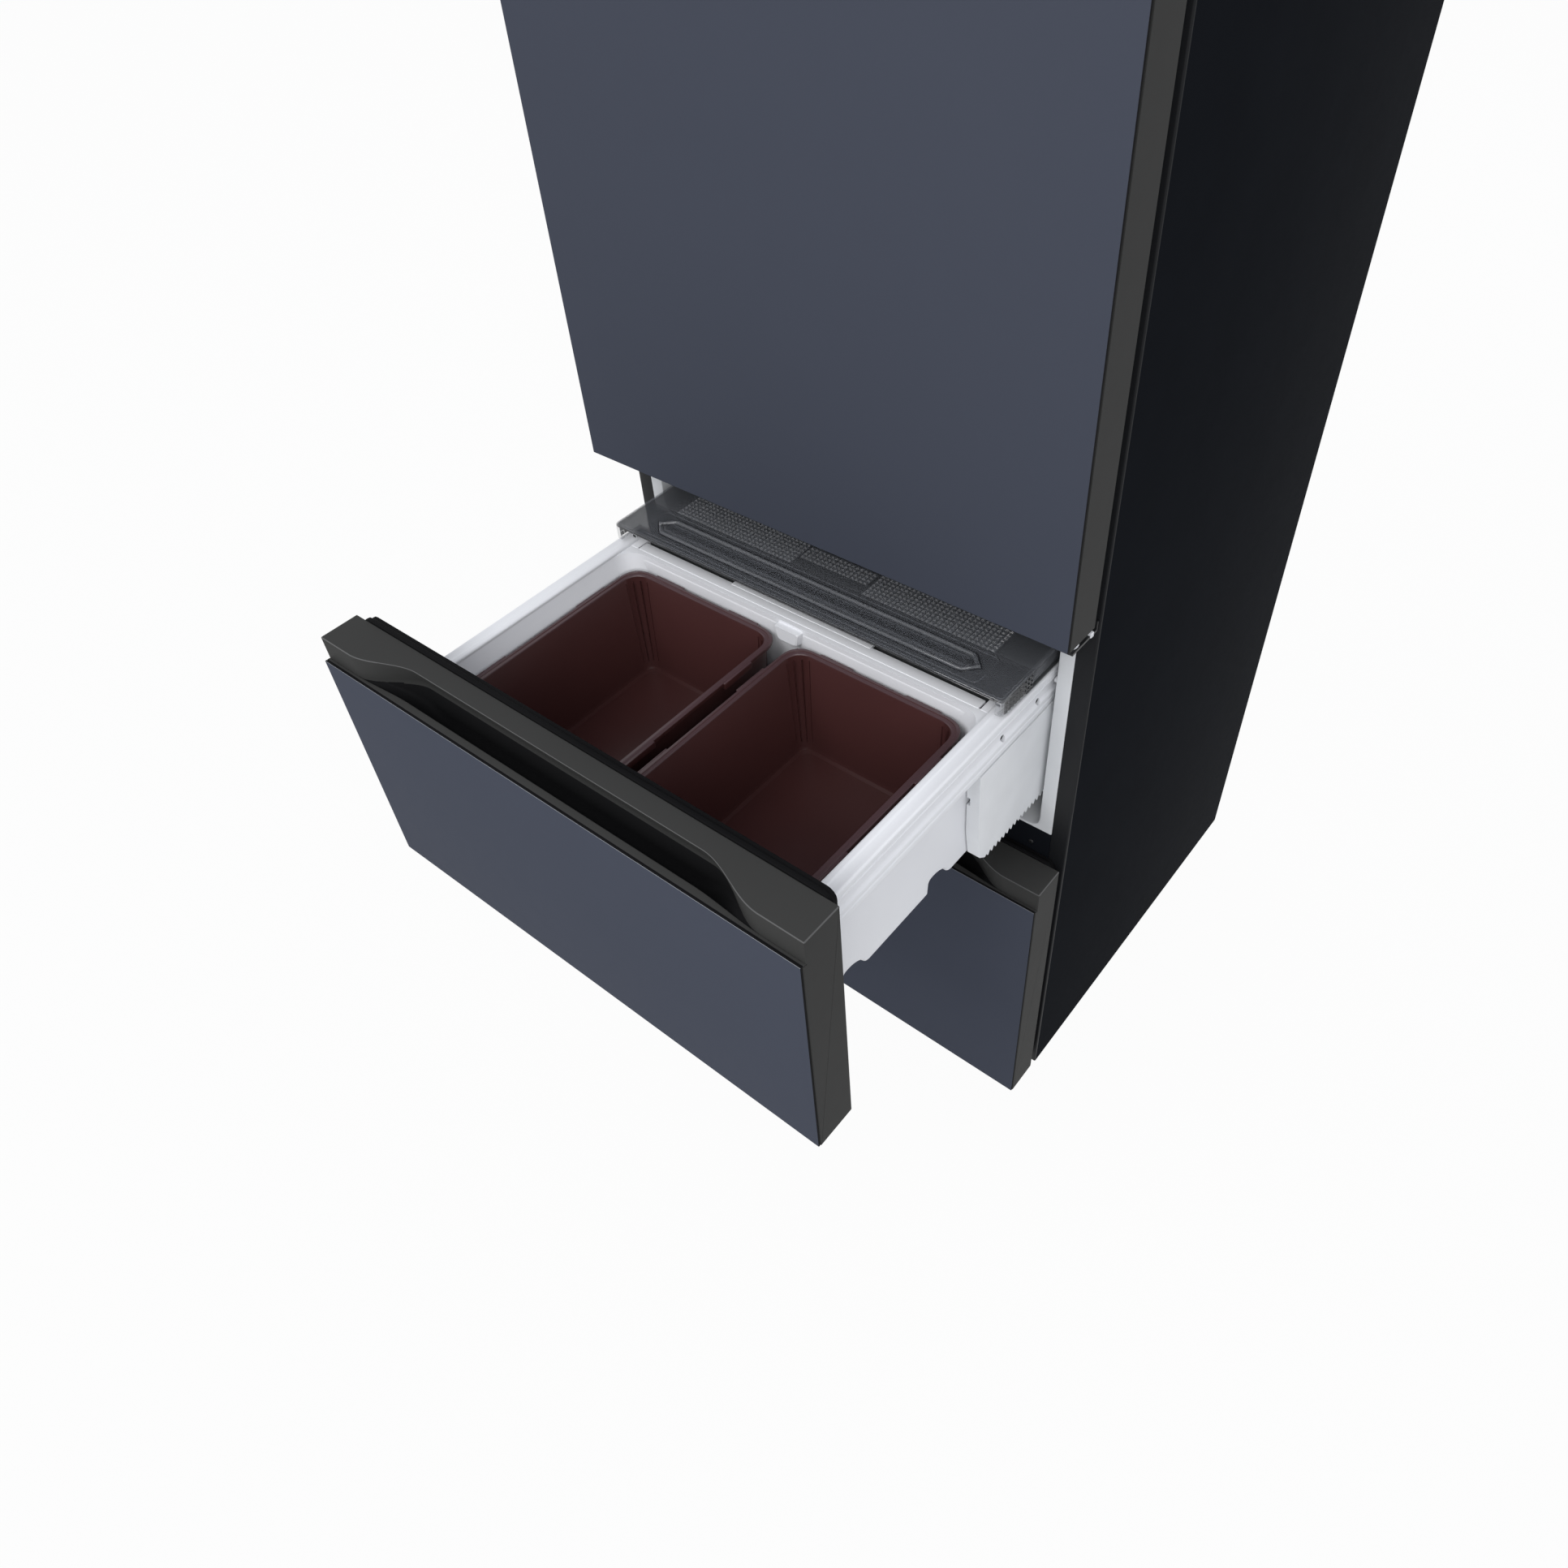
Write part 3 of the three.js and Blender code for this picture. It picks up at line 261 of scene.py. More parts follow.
# %% The finishes
NAVY = finish("navy_panel", (70, 74, 85), 0.6, grain_mm=0.35, depth_mm=0.002, tone=0.006, specular=0.012)
# A light grey-blue copy of the panel finish for the eased top front edge: a painted highlight, with some real gloss
# too.
NAVY_PAINTED_HIGHLIGHT = finish("navy_panel", (138, 140, 145), 0.4, grain_mm=0.35, depth_mm=0.001, tone=0.01, specular=0.3)
CHARCOAL = finish("charcoal", (60, 60, 59), 0.5, grain_mm=0.5, depth_mm=0.002, tone=0.02, specular=0.02)
# A lighter, glossier copy of the charcoal for the frame's eased top edges: a painted highlight as well as real gloss.
CHARCOAL_PAINTED_HIGHLIGHT = finish("charcoal", (80, 80, 80), 0.32, grain_mm=0.5, depth_mm=0.001, tone=0.02, specular=0.35)
# A near-black copy of the charcoal for the finger pocket and the panels' thin sides: painted shade.
CHARCOAL_PAINTED_SHADE = finish("charcoal", (27, 27, 28), 0.6, grain_mm=0.5, depth_mm=0.002, tone=0.03, specular=0.02)
BLACK_STEEL = finish("black_steel", (21, 23, 27), 0.5, grain_mm=1.6, depth_mm=0.002, tone=0.05, specular=0.002)
# A slightly lighter, glossier copy of the black steel for the faces that look forwards: a painted highlight on the
# front flange and its corner, plus real gloss.
STEEL_PAINTED_HIGHLIGHT = finish("black_steel", (27, 28, 30), 0.4, grain_mm=1.6, depth_mm=0.001, tone=0.04, specular=0.12)
WHITE = finish("white_plastic", (232, 233, 236), 0.4, grain_mm=0.8, depth_mm=0.003, tone=0.012, specular=0.4)
LINER = finish("liner_white", (208, 210, 212), 0.45, grain_mm=1.6, depth_mm=0.012, tone=0.015)
SLIDE = finish("slide_white", (228, 230, 232), 0.36, grain_mm=3, depth_mm=0.01, tone=0.03, broad_mm=45)
BURGUNDY = finish("burgundy", (68, 39, 38), 0.34, grain_mm=1.2, depth_mm=0.0003, tone=0.03, specular=0.45)
# A lighter grey-red copy for the top faces of the container rims: a painted sheen.
BURGUNDY_PAINTED_SHEEN = finish("burgundy", (77, 56, 59), 0.34, grain_mm=1.2, depth_mm=0.0003, tone=0.02, specular=0.4)
DECK = finish("deck_grey", (70, 72, 73), 0.5, grain_mm=0.5, depth_mm=0.001, tone=0.04, specular=0.3)
SEAL = finish("seal_black", (20, 20, 21), 0.7, grain_mm=0.4, depth_mm=0.01, tone=0.06, specular=0.03)
FOOT = finish("foot_black", (22, 22, 22), 0.8, grain_mm=0.5, depth_mm=0.03, tone=0.08)
FOAM = finish("foam", (214, 203, 164), 0.9, grain_mm=1.4, depth_mm=0.3, tone=0.09)
ZINC = finish("zinc", (170, 174, 177), 0.38, grain_mm=5, depth_mm=0.02, tone=0.1, metal=0.85, broad_mm=14)
DARK_METAL = finish("dark_metal", (34, 35, 37), 0.45, grain_mm=0.8, depth_mm=0.02, tone=0.06, metal=0.3)
COPPER = finish("copper", (184, 115, 80), 0.32, grain_mm=0.6, depth_mm=0.01, tone=0.12, metal=1, broad_mm=30)
ALUMINIUM = finish("aluminium", (190, 193, 198), 0.34, grain_mm=0.5, depth_mm=0.01, tone=0.06, metal=1)
GEAR = finish("gear_grey", (146, 150, 152), 0.46, grain_mm=0.6, depth_mm=0.01, tone=0.04)
GLASS = see_through(finish("clear_glass", (206, 226, 220), 0.05, grain_mm=9, depth_mm=0.001, tone=0.01), 0.16, 2.4)
SMOKE = see_through(finish("smoke_clear", (136, 139, 145), 0.05, grain_mm=9, depth_mm=0.0003, tone=0.02), 0.2, 2.6)
# A dark, nearly opaque copy of the smoke-clear finish: painted shade for the dark lines that the sheet's edges, lens
# outline and side diamonds show where light bends in the clear plastic.
SMOKE_PAINTED_DARK_EDGE = see_through(finish("smoke_clear", (40, 41, 44), 0.05, grain_mm=9, depth_mm=0.0003, tone=0.02), 0.72, 1.8)
LAMP = finish("lamp", (244, 242, 234), 0.35, grain_mm=0.8, depth_mm=0.02, tone=0.02)
print("finishes", len([m for m in bpy.data.materials if "slot" in m]))

# %% [markdown]
# ## Shaping helpers
# Most of the object is moulded: a profile drawn along a line, with every edge eased. So the main
# helper draws a loop of edges and extrudes it from station to station, the way a skin is drawn
# through sections. A bevel afterwards could do the edges too, but it stops at the shortest edge of a
# curved profile, so the sections carry their own small radii.

# %% Drawing through sections


def eased(corners, steps=4):
    """Rounds the corners of a closed outline: each corner is (u, v, radius)."""
    points = []
    for i, (u, v, radius) in enumerate(corners):
        here = Vector((u, v))
        before = Vector(corners[i - 1][:2]) - here
        after = Vector(corners[(i + 1) % len(corners)][:2]) - here
        reach = min(radius, before.length * 0.49, after.length * 0.49)
        start = here + (before.normalized() * reach if before.length else before)
        end = here + (after.normalized() * reach if after.length else after)
        for step in range(steps + 1):
            t = step / steps
            points.append(start * (1 - t) ** 2 + here * 2 * t * (1 - t) + end * t**2)
    return points


def area(points):
    return sum(a.cross(b) for a, b in zip(points, points[1:] + points[:1])) / 2


def pulled_in(points, distance):
    """The outline moved inwards by a small distance."""
    turn = 1 if area(points) > 0 else -1
    moved = []
    for i, here in enumerate(points):
        along = points[(i + 1) % len(points)] - points[i - 1]
        if along.length < 1e-9:
            moved.append(here)
            continue
        inward = Vector((-along.y, along.x)).normalized() * turn
        moved.append(here + inward * distance)
    return moved


def lifted(points, axis, place):
    """Outline points as points in space: (y, z) on X, (x, z) on Y and (x, y) on Z."""
    order = {"x": lambda p: (place, p.x, p.y), "y": lambda p: (p.x, place, p.y), "z": lambda p: (p.x, p.y, place)}
    return [order[axis](p) for p in points]


def loft(bm, sections, ring=False):
    """Draws the first section as a loop of edges and extrudes it from section to section."""
    verts = [bm.verts.new(p) for p in sections[0]]
    first = [bm.edges.new(pair) for pair in zip(verts, verts[1:] + verts[:1])]
    edges = first
    if not ring:
        bm.faces.new(verts)
    for section in sections[1:]:
        grown = bmesh.ops.extrude_edge_only(bm, edges=edges)["geom"]
        edges = [e for e in grown if isinstance(e, bmesh.types.BMEdge) and not any(v in verts for v in e.verts)]
        fresh = {v for e in edges for v in e.verts}
        following = []
        for old, place in zip(verts, section):
            new = next(e.other_vert(old) for e in old.link_edges if e.other_vert(old) in fresh)
            new.co = place
            following.append(new)
        verts = following
    if ring:
        bmesh.ops.bridge_loops(bm, edges=edges + first)
    else:
        bm.faces.new(verts)
    return bm


def bar(bm, outline, axis, start, end, ease=0.8, steps=3):
    """An outline drawn along an axis, with its two ends eased."""
    sections = []
    span = abs(end - start)
    ease = min(ease, span * 0.45)
    sign = 1 if end > start else -1
    for side in (0, 1):
        for step in range(steps + 1):
            angle = math.pi / 2 * (step / steps if side == 0 else 1 - step / steps)
            inset, depth = ease * (1 - math.sin(angle)), ease * (1 - math.cos(angle))
            place = start + sign * depth if side == 0 else end - sign * depth
            sections.append(lifted(pulled_in(outline, inset), axis, place))
    return loft(bm, sections)


def block(bm, low, high, ease=0.8):
    """A box with eased edges, drawn along its longest side."""
    size = [b - a for a, b in zip(low, high)]
    axis = "xyz"[size.index(max(size))]
    u, v = {"x": (1, 2), "y": (0, 2), "z": (0, 1)}[axis]
    w = "xyz".index(axis)
    radius = min(ease, size[u] * 0.45, size[v] * 0.45)
    corners = [(low[u], low[v], radius), (high[u], low[v], radius), (high[u], high[v], radius), (low[u], high[v], radius)]
    return bar(bm, eased(corners, 3), axis, low[w], high[w], radius)


def bead(bm, outline, profile, z):
    """A raised line along a closed outline: its section is (distance inwards, height) points."""
    rings = [pulled_in(outline, distance) for distance, _ in profile]
    rises = [height for _, height in profile]
    sections = []
    for i in range(len(outline)):
        sections.append([(ring[i].x, ring[i].y, z + rise) for ring, rise in zip(rings, rises)])
    return loft(bm, sections, ring=True)


def round_rectangle(x0, x1, y0, y1, radius, steps=8):
    return eased([(x0, y0, radius), (x1, y0, radius), (x1, y1, radius), (x0, y1, radius)], steps)


def circle(u, v, radius, count=24):
    turn = 2 * math.pi / count
    return [Vector((u + radius * math.cos(i * turn), v + radius * math.sin(i * turn))) for i in range(count)]


def cross(u, v, reach, half):
    """The outline of a cross recess, with as many points as a circle has."""
    points = []
    for p in circle(0, 0, 1):
        c, d = max(abs(p.x), 1e-6), max(abs(p.y), 1e-6)
        far = max(min(reach / c, half / d), min(reach / d, half / c))
        points.append(Vector((u + p.x * far, v + p.y * far)))
    return points


def screw(bm, axis, u, v, face, outwards, radius=4.0, rise=2.2):
    """A domed head with a cross recess, standing on a face that looks along the axis."""
    steps = [(1, -0.6), (1, 0.5), (0.93, 0.75), (0.75, 0.95), (0.6, 1)]
    sections = [lifted(circle(u, v, radius * r), axis, face + outwards * rise * h) for r, h in steps]
    for height in (1, 0.25):
        sections.append(lifted(cross(u, v, radius * 0.5, radius * 0.13), axis, face + outwards * rise * height))
    return loft(bm, sections)


# %% [markdown]
# A finished piece is moved to its place, gets its finish, and rides on the body that carries it.
# Many small parts only need their edges eased, so a copy of the CAD solid is merged and
# bevelled for them.

# %% Finishing helpers


def forms(bm):
    """The separate forms of a drawing, as lists of faces."""
    seen, found = set(), []
    for start in bm.faces:
        if start in seen:
            continue
        seen.add(start)
        form = [start]
        for face in form:
            for other in (f for edge in face.edges for f in edge.link_faces if f not in seen):
                seen.add(other)
                form.append(other)
        found.append(form)
    return found


def signed_volume(faces):
    """Positive where the faces look outwards."""
    origin = faces[0].verts[0].co.copy()
    total = 0
    for face in faces:
        first, *rest = [v.co - origin for v in face.verts]
        total += sum(first.dot(b.cross(c)) for b, c in zip(rest, rest[1:]))
    return total / 6


def point_outwards(bm):
    """Each form by itself, because one that is inside out is lost in a boolean."""
    bmesh.ops.recalc_face_normals(bm, faces=bm.faces)
    for form in forms(bm):
        if signed_volume(form) < 0:
            bmesh.ops.reverse_faces(bm, faces=form)


def shade(mesh, angle=32):
    """Smooth across small angles; large flat caps keep their own flat shading."""
    mesh.shade_smooth()
    mesh.set_sharp_from_angle(angle=math.radians(angle))
    for face in mesh.polygons:
        face.use_smooth = face.loop_total <= 8


def link_piece(name, bm, material, body, stands_for=(), bevel=0.0, angle=32):
    bmesh.ops.remove_doubles(bm, verts=bm.verts, dist=1e-6)
    point_outwards(bm)
    mesh = bpy.data.meshes.new(name)
    bm.to_mesh(mesh)
    bm.free()
    if "custom_normal" in mesh.attributes:
        mesh.attributes.remove(mesh.attributes["custom_normal"])
    mesh.materials.clear()
    mesh.materials.append(material)
    shade(mesh, angle)
    piece = bpy.data.objects.new(name, mesh)
    bpy.context.scene.collection.objects.link(piece)
    if bevel:
        mesh.shade_smooth()
        rounding = piece.modifiers.new("eased_edges", "BEVEL")
        rounding.width = bevel * MM
        rounding.segments = 2
        rounding.limit_method = "ANGLE"
        rounding.angle_limit = math.radians(40)
        rounding.harden_normals = True
    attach(piece, body)
    if stands_for:
        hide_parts(*stands_for)
    return piece


def finished(name, bm, material, body, stands_for=(), bevel=0.0, angle=32):
    """Takes a drawing in millimetres from the front plane to its place in the file's frame."""
    offset = (0, FRONT_PLANE - PULLED.get(body, 0), 0)
    bmesh.ops.translate(bm, verts=bm.verts, vec=offset)
    bmesh.ops.scale(bm, verts=bm.verts, vec=(MM, MM, MM))
    return link_piece(name, bm, material, body, stands_for, bevel, angle)


def body_of(node):
    return next(body for body, nodes in frame["record"]["behaviour"]["bodies"].items() if node in nodes)


def refined(node, material, bevel=0.6, name=None):
    """A copy of a CAD solid with merged faces and eased edges."""
    bm = bmesh.new()
    bm.from_mesh(frame["nodes"][node].data)
    bmesh.ops.remove_doubles(bm, verts=bm.verts, dist=1e-6)
    bmesh.ops.dissolve_limit(bm, angle_limit=math.radians(0.5), verts=bm.verts, edges=bm.edges)
    return link_piece(name or node + "_finished", bm, material, body_of(node), (node,), bevel)


CARVE_TRIES = 24
CARVE_STEP = 1e-7


def measured(mesh):
    """The volume of a mesh, and whether it is closed."""
    bm = bmesh.new()
    bm.from_mesh(mesh)
    facts = bm.calc_volume(), all(edge.is_manifold for edge in bm.edges)
    bm.free()
    return facts


def cut_once(piece, tool, operation, solver):
    knife = piece.modifiers.new("carve", "BOOLEAN")
    knife.operation = operation
    knife.object = tool
    knife.solver = solver
    depsgraph = bpy.context.evaluated_depsgraph_get()
    result = bpy.data.meshes.new_from_object(piece.evaluated_get(depsgraph))
    piece.modifiers.remove(knife)
    return result


def carve(piece, cutter, operation="DIFFERENCE", solver="EXACT"):
    """Cuts one finished piece with a drawing, and keeps the result as its mesh.

    Now and then the solver drops a part of shapes like these. So a result is kept only if it is
    closed and its volume is possible. If not, the cutter moves by a ten-thousandth of a millimetre
    and the cut is worked out again.
    """
    bmesh.ops.remove_doubles(cutter, verts=cutter.verts, dist=1e-6)
    point_outwards(cutter)
    tool_mesh = bpy.data.meshes.new("cutter")
    cutter.to_mesh(tool_mesh)
    cutter.free()
    tool = bpy.data.objects.new("cutter", tool_mesh)
    bpy.context.scene.collection.objects.link(tool)
    whole, bite = measured(piece.data)[0], measured(tool_mesh)[0]
    least, most = (whole - bite, whole) if operation == "DIFFERENCE" else (0, min(whole, bite))
    for attempt in range(CARVE_TRIES):
        tool.location = (attempt * CARVE_STEP, attempt * CARVE_STEP, 0)
        result = cut_once(piece, tool, operation, solver)
        volume, closed = measured(result)
        if closed and least < volume < most * 0.9999:
            break
        bpy.data.meshes.remove(result)
    else:
        raise RuntimeError("no sound cut of " + piece.name)
    old = piece.data
    piece.data = result
    bpy.data.meshes.remove(old)
    bpy.data.objects.remove(tool)
    shade(piece.data)
    return piece


def placed(bm, body):
    """A cutter's drawing taken to the file's frame."""
    bmesh.ops.translate(bm, verts=bm.verts, vec=(0, FRONT_PLANE - PULLED.get(body, 0), 0))
    bmesh.ops.scale(bm, verts=bm.verts, vec=(MM, MM, MM))
    return bm


def refaced(piece, material, chosen):
    """Gives the chosen faces of a piece a second material; faces are judged by centre and normal."""
    piece.data.materials.append(material)
    index = len(piece.data.materials) - 1
    for face in piece.data.polygons:
        if chosen(face.center / MM, face.normal):
            face.material_index = index
    return piece


# %% [markdown]
# ## Drawer fronts
# Each front is a thin blue-grey sheet on a charcoal frame. The frame's top is cut back in an S
# curve at each end, and behind the narrow ledge a deep pocket takes the fingers. The frame is
# drawn along its width: one profile changes from the plain end to the full scoop.

# %% Drawer frames
LEDGE = 29.6
SCOOP_START, SCOOP_FULL = 296, 208
POCKET_START, POCKET_FULL = 276, 186


def smooth(t):
    t = max(0.0, min(1.0, t))
    return t * t * (3 - 2 * t)


def between(a, b, t):
    return a + (b - a) * t


def frame_profile(x, bottom, top, hollow=1):
    """The frame's section at one place, with its foam space at full depth (1) or flush (0)."""
    scoop = smooth((SCOOP_START - abs(x)) / (SCOOP_START - SCOOP_FULL))
    pocket = max(0.03, smooth((POCKET_START - abs(x)) / (POCKET_START - POCKET_FULL)))
    front, ledge = PANEL_BACK + 0.3, top - LEDGE
    lip = between(-61.4, -56, scoop)
    floor = ledge - 39 * pocket
    wall = between(-61.2, -26, scoop)
    inside = between(front, FRONT_BACK - 2, hollow)
    return eased([
        (front, bottom, 1), (front, bottom + 2.2, 0.3), (inside, bottom + 3, 0.3), (inside, top - 74, 0.3),
        (front, top - 73, 0.3), (front, ledge - 0.4, 0.9), (lip, ledge - 0.4, 0.3 + 0.9 * pocket),
        (between(lip, lip + 3, pocket), floor - 0.4, 9 * pocket), (wall - 2 * pocket, floor - 0.4, 11 * pocket),
        (wall, ledge - 0.4 + 6 * pocket, 2.2 + 5 * pocket), (between(-61.4, -37, scoop), top, 1.5),
        (FRONT_BACK, top, 1), (FRONT_BACK, bottom, 1),
    ], 5)


def stations():
    """Places along the width: close together on the two S curves."""
    right = [SCOOP_FULL - 30, SCOOP_FULL - 15] + [between(SCOOP_FULL - 4, SCOOP_START + 3, i / 30) for i in range(31)]
    right = sorted(set(right + [POCKET_FULL - 8, POCKET_FULL, POCKET_FULL + 8, HALF - 2.1]))
    return [-x for x in reversed(right)] + right


def drawer_frame(drawer):
    bottom, top = drawer["bottom"], drawer["top"]
    end = frame_profile(HALF, bottom, top, 0)
    caps = [(HALF, 1.1), (HALF - 0.15, 0.6), (HALF - 0.5, 0.2), (HALF - 1.1, 0), (HALF - 2, 0)]
    sections = [lifted(pulled_in(end, inset), "x", -x) for x, inset in caps]
    sections += [lifted(frame_profile(x, bottom, top), "x", x) for x in stations()]
    sections += [lifted(pulled_in(end, inset), "x", x) for x, inset in reversed(caps)]
    body = drawer["name"] + "_drawer"
    bm = loft(bmesh.new(), sections)
    piece = finished(drawer["name"] + "_frame", bm, CHARCOAL, body, (drawer["name"] + "_front_case",))
    shift = PULLED.get(body, 0) - FRONT_PLANE
    ledge = top - LEDGE

    # Faces painted near-black as painted shade: the strip of ledge just behind the panel's top, and the inside of the
    # finger pocket below the ledge.
    def painted_shade_faces(spot, normal):
        if spot.y + shift < PANEL_BACK + 1.4:
            return ledge - 1.6 < spot.z < ledge and normal.z > 0.1
        return spot.z < ledge - 1.5 and -61 < spot.y + shift < -24 and spot.z > ledge - 42

    # The eased edges along the top's front and ends are painted lighter: a painted highlight line.
    def painted_highlight_faces(spot, normal):
        return spot.z > top - 1.6 and normal.z > 0.25 and (normal.y < -0.3 or abs(normal.x) > 0.3)

    refaced(piece, CHARCOAL_PAINTED_SHADE, painted_shade_faces)
    return refaced(piece, CHARCOAL_PAINTED_HIGHLIGHT, painted_highlight_faces)


for drawer in (MIDDLE, LOWER):
    print(drawer["name"], "frame faces", len(drawer_frame(drawer).data.polygons))

# %% [markdown]
# The coloured sheet stops just short of the frame's edges. Its sides and top are painted near-black, a painted shadow
# that gives the thin dark line all round it. Its eased top front edge is painted light grey-blue, a painted highlight
# with a little real gloss as well.

# %% Front panels


def front_panel(name, body, node, bottom, top):
    bm = block(bmesh.new(), (-HALF + 0.7, FRONT_FACE, bottom + 0.7), (HALF - 0.7, PANEL_BACK, top), 0.7)
    piece = finished(name, bm, NAVY, body, (node,))
    # The panel's sides and top get the near-black copy: a painted shadow for the gap round the sheet.
    refaced(piece, CHARCOAL_PAINTED_SHADE, lambda spot, normal: abs(normal.x) > 0.6 or (normal.z > 0.2 and normal.y > -0.2))
    # The eased top front edge gets the light copy: a painted highlight.
    return refaced(piece, NAVY_PAINTED_HIGHLIGHT, lambda spot, normal: normal.z > 0.2 and normal.y < -0.2)


front_panel("upper_panel", "upper_door", "upper_door_panel", DOOR["bottom"], DOOR["top"] - 0.7)
for drawer in (MIDDLE, LOWER):
    name = drawer["name"]
    front_panel(name + "_panel", name + "_drawer", name + "_front_panel", drawer["bottom"], drawer["top"] - LEDGE)

# %% [markdown]
# ## Seals
# A magnetic seal is a soft black strip round the back of each front: a flat foot, a bellows waist
# and a magnet bulb. Its profile is drawn round the four small corners.

# %% Seals
SEAL_PROFILE = [(0.4, 0, 0.3), (0, 1, 0.6), (0, 5.4, 1.6), (2.6, 7, 0.8), (2.6, 11.9, 1.4), (12.6, 11.9, 1.4),
                (12.6, 7.6, 0.8), (10.4, 6.6, 1), (10.4, 4.6, 1), (13.6, 3.4, 0.5), (13.6, 0, 0.6)]
SEAL_CORNER = 14


def seal(name, body, node, bottom, top, half):
    profile = eased(SEAL_PROFILE, 3)
    sections = []
    for quarter, (x, z) in enumerate(((half, top), (-half, top), (-half, bottom), (half, bottom))):
        centre = (x - math.copysign(SEAL_CORNER, x), z - (SEAL_CORNER if z == top else -SEAL_CORNER))
        for step in range(5):
            turn = (quarter + step / 4) * math.pi / 2
            sections.append([(centre[0] + (SEAL_CORNER - p.x) * math.cos(turn), FRONT_BACK + 0.2 + p.y,
                              centre[1] + (SEAL_CORNER - p.x) * math.sin(turn)) for p in profile])
    bm = loft(bmesh.new(), sections, ring=True)
    return finished(name, bm, SEAL, body, (node,))


seal("upper_seal", "upper_door", "upper_door_gasket", 908, 1829, 334)
for drawer in (MIDDLE, LOWER):
    name = drawer["name"]
    seal(name + "_seal", name + "_drawer", name + "_gasket", drawer["bottom"] + 6, drawer["top"] + 2, 338)

# %% [markdown]
# ## Drawer bins
# The bin is one white moulding. Its side rims are long profiles with a bead along the inner edge, a
# shallow dish, and a skirt outside with a groove. The tub below has two cross channels.

# %% Bin rims and tub
RIM = 76.9
CHANNELS = (67, 226)


def rim_profile(rim, side):
    """The side rail: a bead, a dish, and a skirt with a fine groove and a hollow band."""
    points = [
        (275.3, -9, 0.5), (275.3, -1.2, 1.6), (277.4, 0, 1), (282.6, 0, 1), (284.4, -1.5, 1.2), (290, -2, 3),
        (296, -1, 1.5), (298, -2.6, 1.6), (298, -9.8, 0.5), (296.4, -10.6, 0.4), (296.4, -12, 0.4),
        (298, -12.8, 0.6), (298, -16, 1.5), (294.6, -19, 4), (294.6, -31, 4), (298, -34, 1.5), (298, -39.6, 0.8),
        (296.8, -41, 0.5), (296.8, -42.6, 0.5), (297.8, -43.8, 0.8), (297.8, -51, 0.9), (293.6, -51, 0.6),
        (292, -5.4, 2), (279.8, -5.4, 1), (279.8, -9, 0.5),
    ]
    return eased([(side * x, rim + z, r) for x, z, r in points], 3)


def floor_corners(z, wall):
    """The tub's floor line with its two cross channels, steep in front and curved behind."""
    corners = []
    for y in CHANNELS:
        corners += [(y - wall - 2, z, 4), (y - wall, z + 22, 5), (y + 15 + wall, z + 22, 12),
                    (y + 31 + wall, z + 14, 10), (y + 38 + wall, z, 7)]
    return corners


def tub_outline(front, back, z, top, wall, radius):
    corners = [(front, top, 0.5), (front, z, radius)] + floor_corners(z, wall) + [(back, z, radius), (back, top, 0.5)]
    return eased(corners, 4)


def bin_tub(name, body, rim, base):
    bm = bar(bmesh.new(), tub_outline(-12.2, 339.8, base, rim - 4.6, 0, 9), "x", -279.5, 279.5, 3.5, 4)
    tub = finished(name + "_bin_tub", bm, WHITE, body, (name + "_bin",))
    along = bar(bmesh.new(), tub_outline(-5, 332, base + 3, rim + 40, 3, 8), "x", -275.5, 275.5, 3, 3)
    sections = [(16, 8, base + 1), (12, 3, base + 8), (9.6, 0, base + 20), (9.6, 0, rim - 27), (8.8, 0, rim - 25),
                (0.4, 0, rim - 5.5), (0, 0, rim - 4), (0, 0, rim + 30)]
    plan = [lifted(round_rectangle(-275.5 + i, 275.5 - i, -5 + j, 332 - j, 30), "z", z) for i, j, z in sections]
    well = finished("well", along, WHITE, body)
    carve(well, placed(loft(bmesh.new(), plan), body), "INTERSECT")
    cutter = bmesh.new()
    cutter.from_mesh(well.data)
    bpy.data.objects.remove(well)
    return carve(tub, cutter)


def bin_rails(name, body, rim):
    """The two side rails, each with two round holes and two gate marks on the fine groove."""
    rails, holes = bmesh.new(), bmesh.new()
    for _, side in SIDES:
        bar(rails, rim_profile(rim, side), "y", -12.2, 532, 0.6)
        low, high = sorted((side * 286, side * 306))
        for y in (338, 411):
            bar(holes, circle(y, rim - 30.5, 4), "x", low, high, 0.2)
        low, high = sorted((side * 295.4, side * 306))
        for y in (101.6, 230.6):
            block(holes, (low, y - 3.5, rim - 10.4), (high, y + 3.5, rim - 8.6), 0.3)
    carve(finished(name + "_bin_rails", rails, WHITE, body), placed(holes, body), solver="FAST")
    # Near-black discs set into the holes' inner wall: painted shade for the depth of the holes.
    hole_shade_discs = bmesh.new()
    for _, side in SIDES:
        low, high = sorted((side * 290.6, side * 293.4))
        for y in (338, 411):
            bar(hole_shade_discs, circle(y, rim - 30.5, 3.7), "x", low, high, 0.4)
    finished(name + "_rail_hole_shade", hole_shade_discs, SEAL, body)


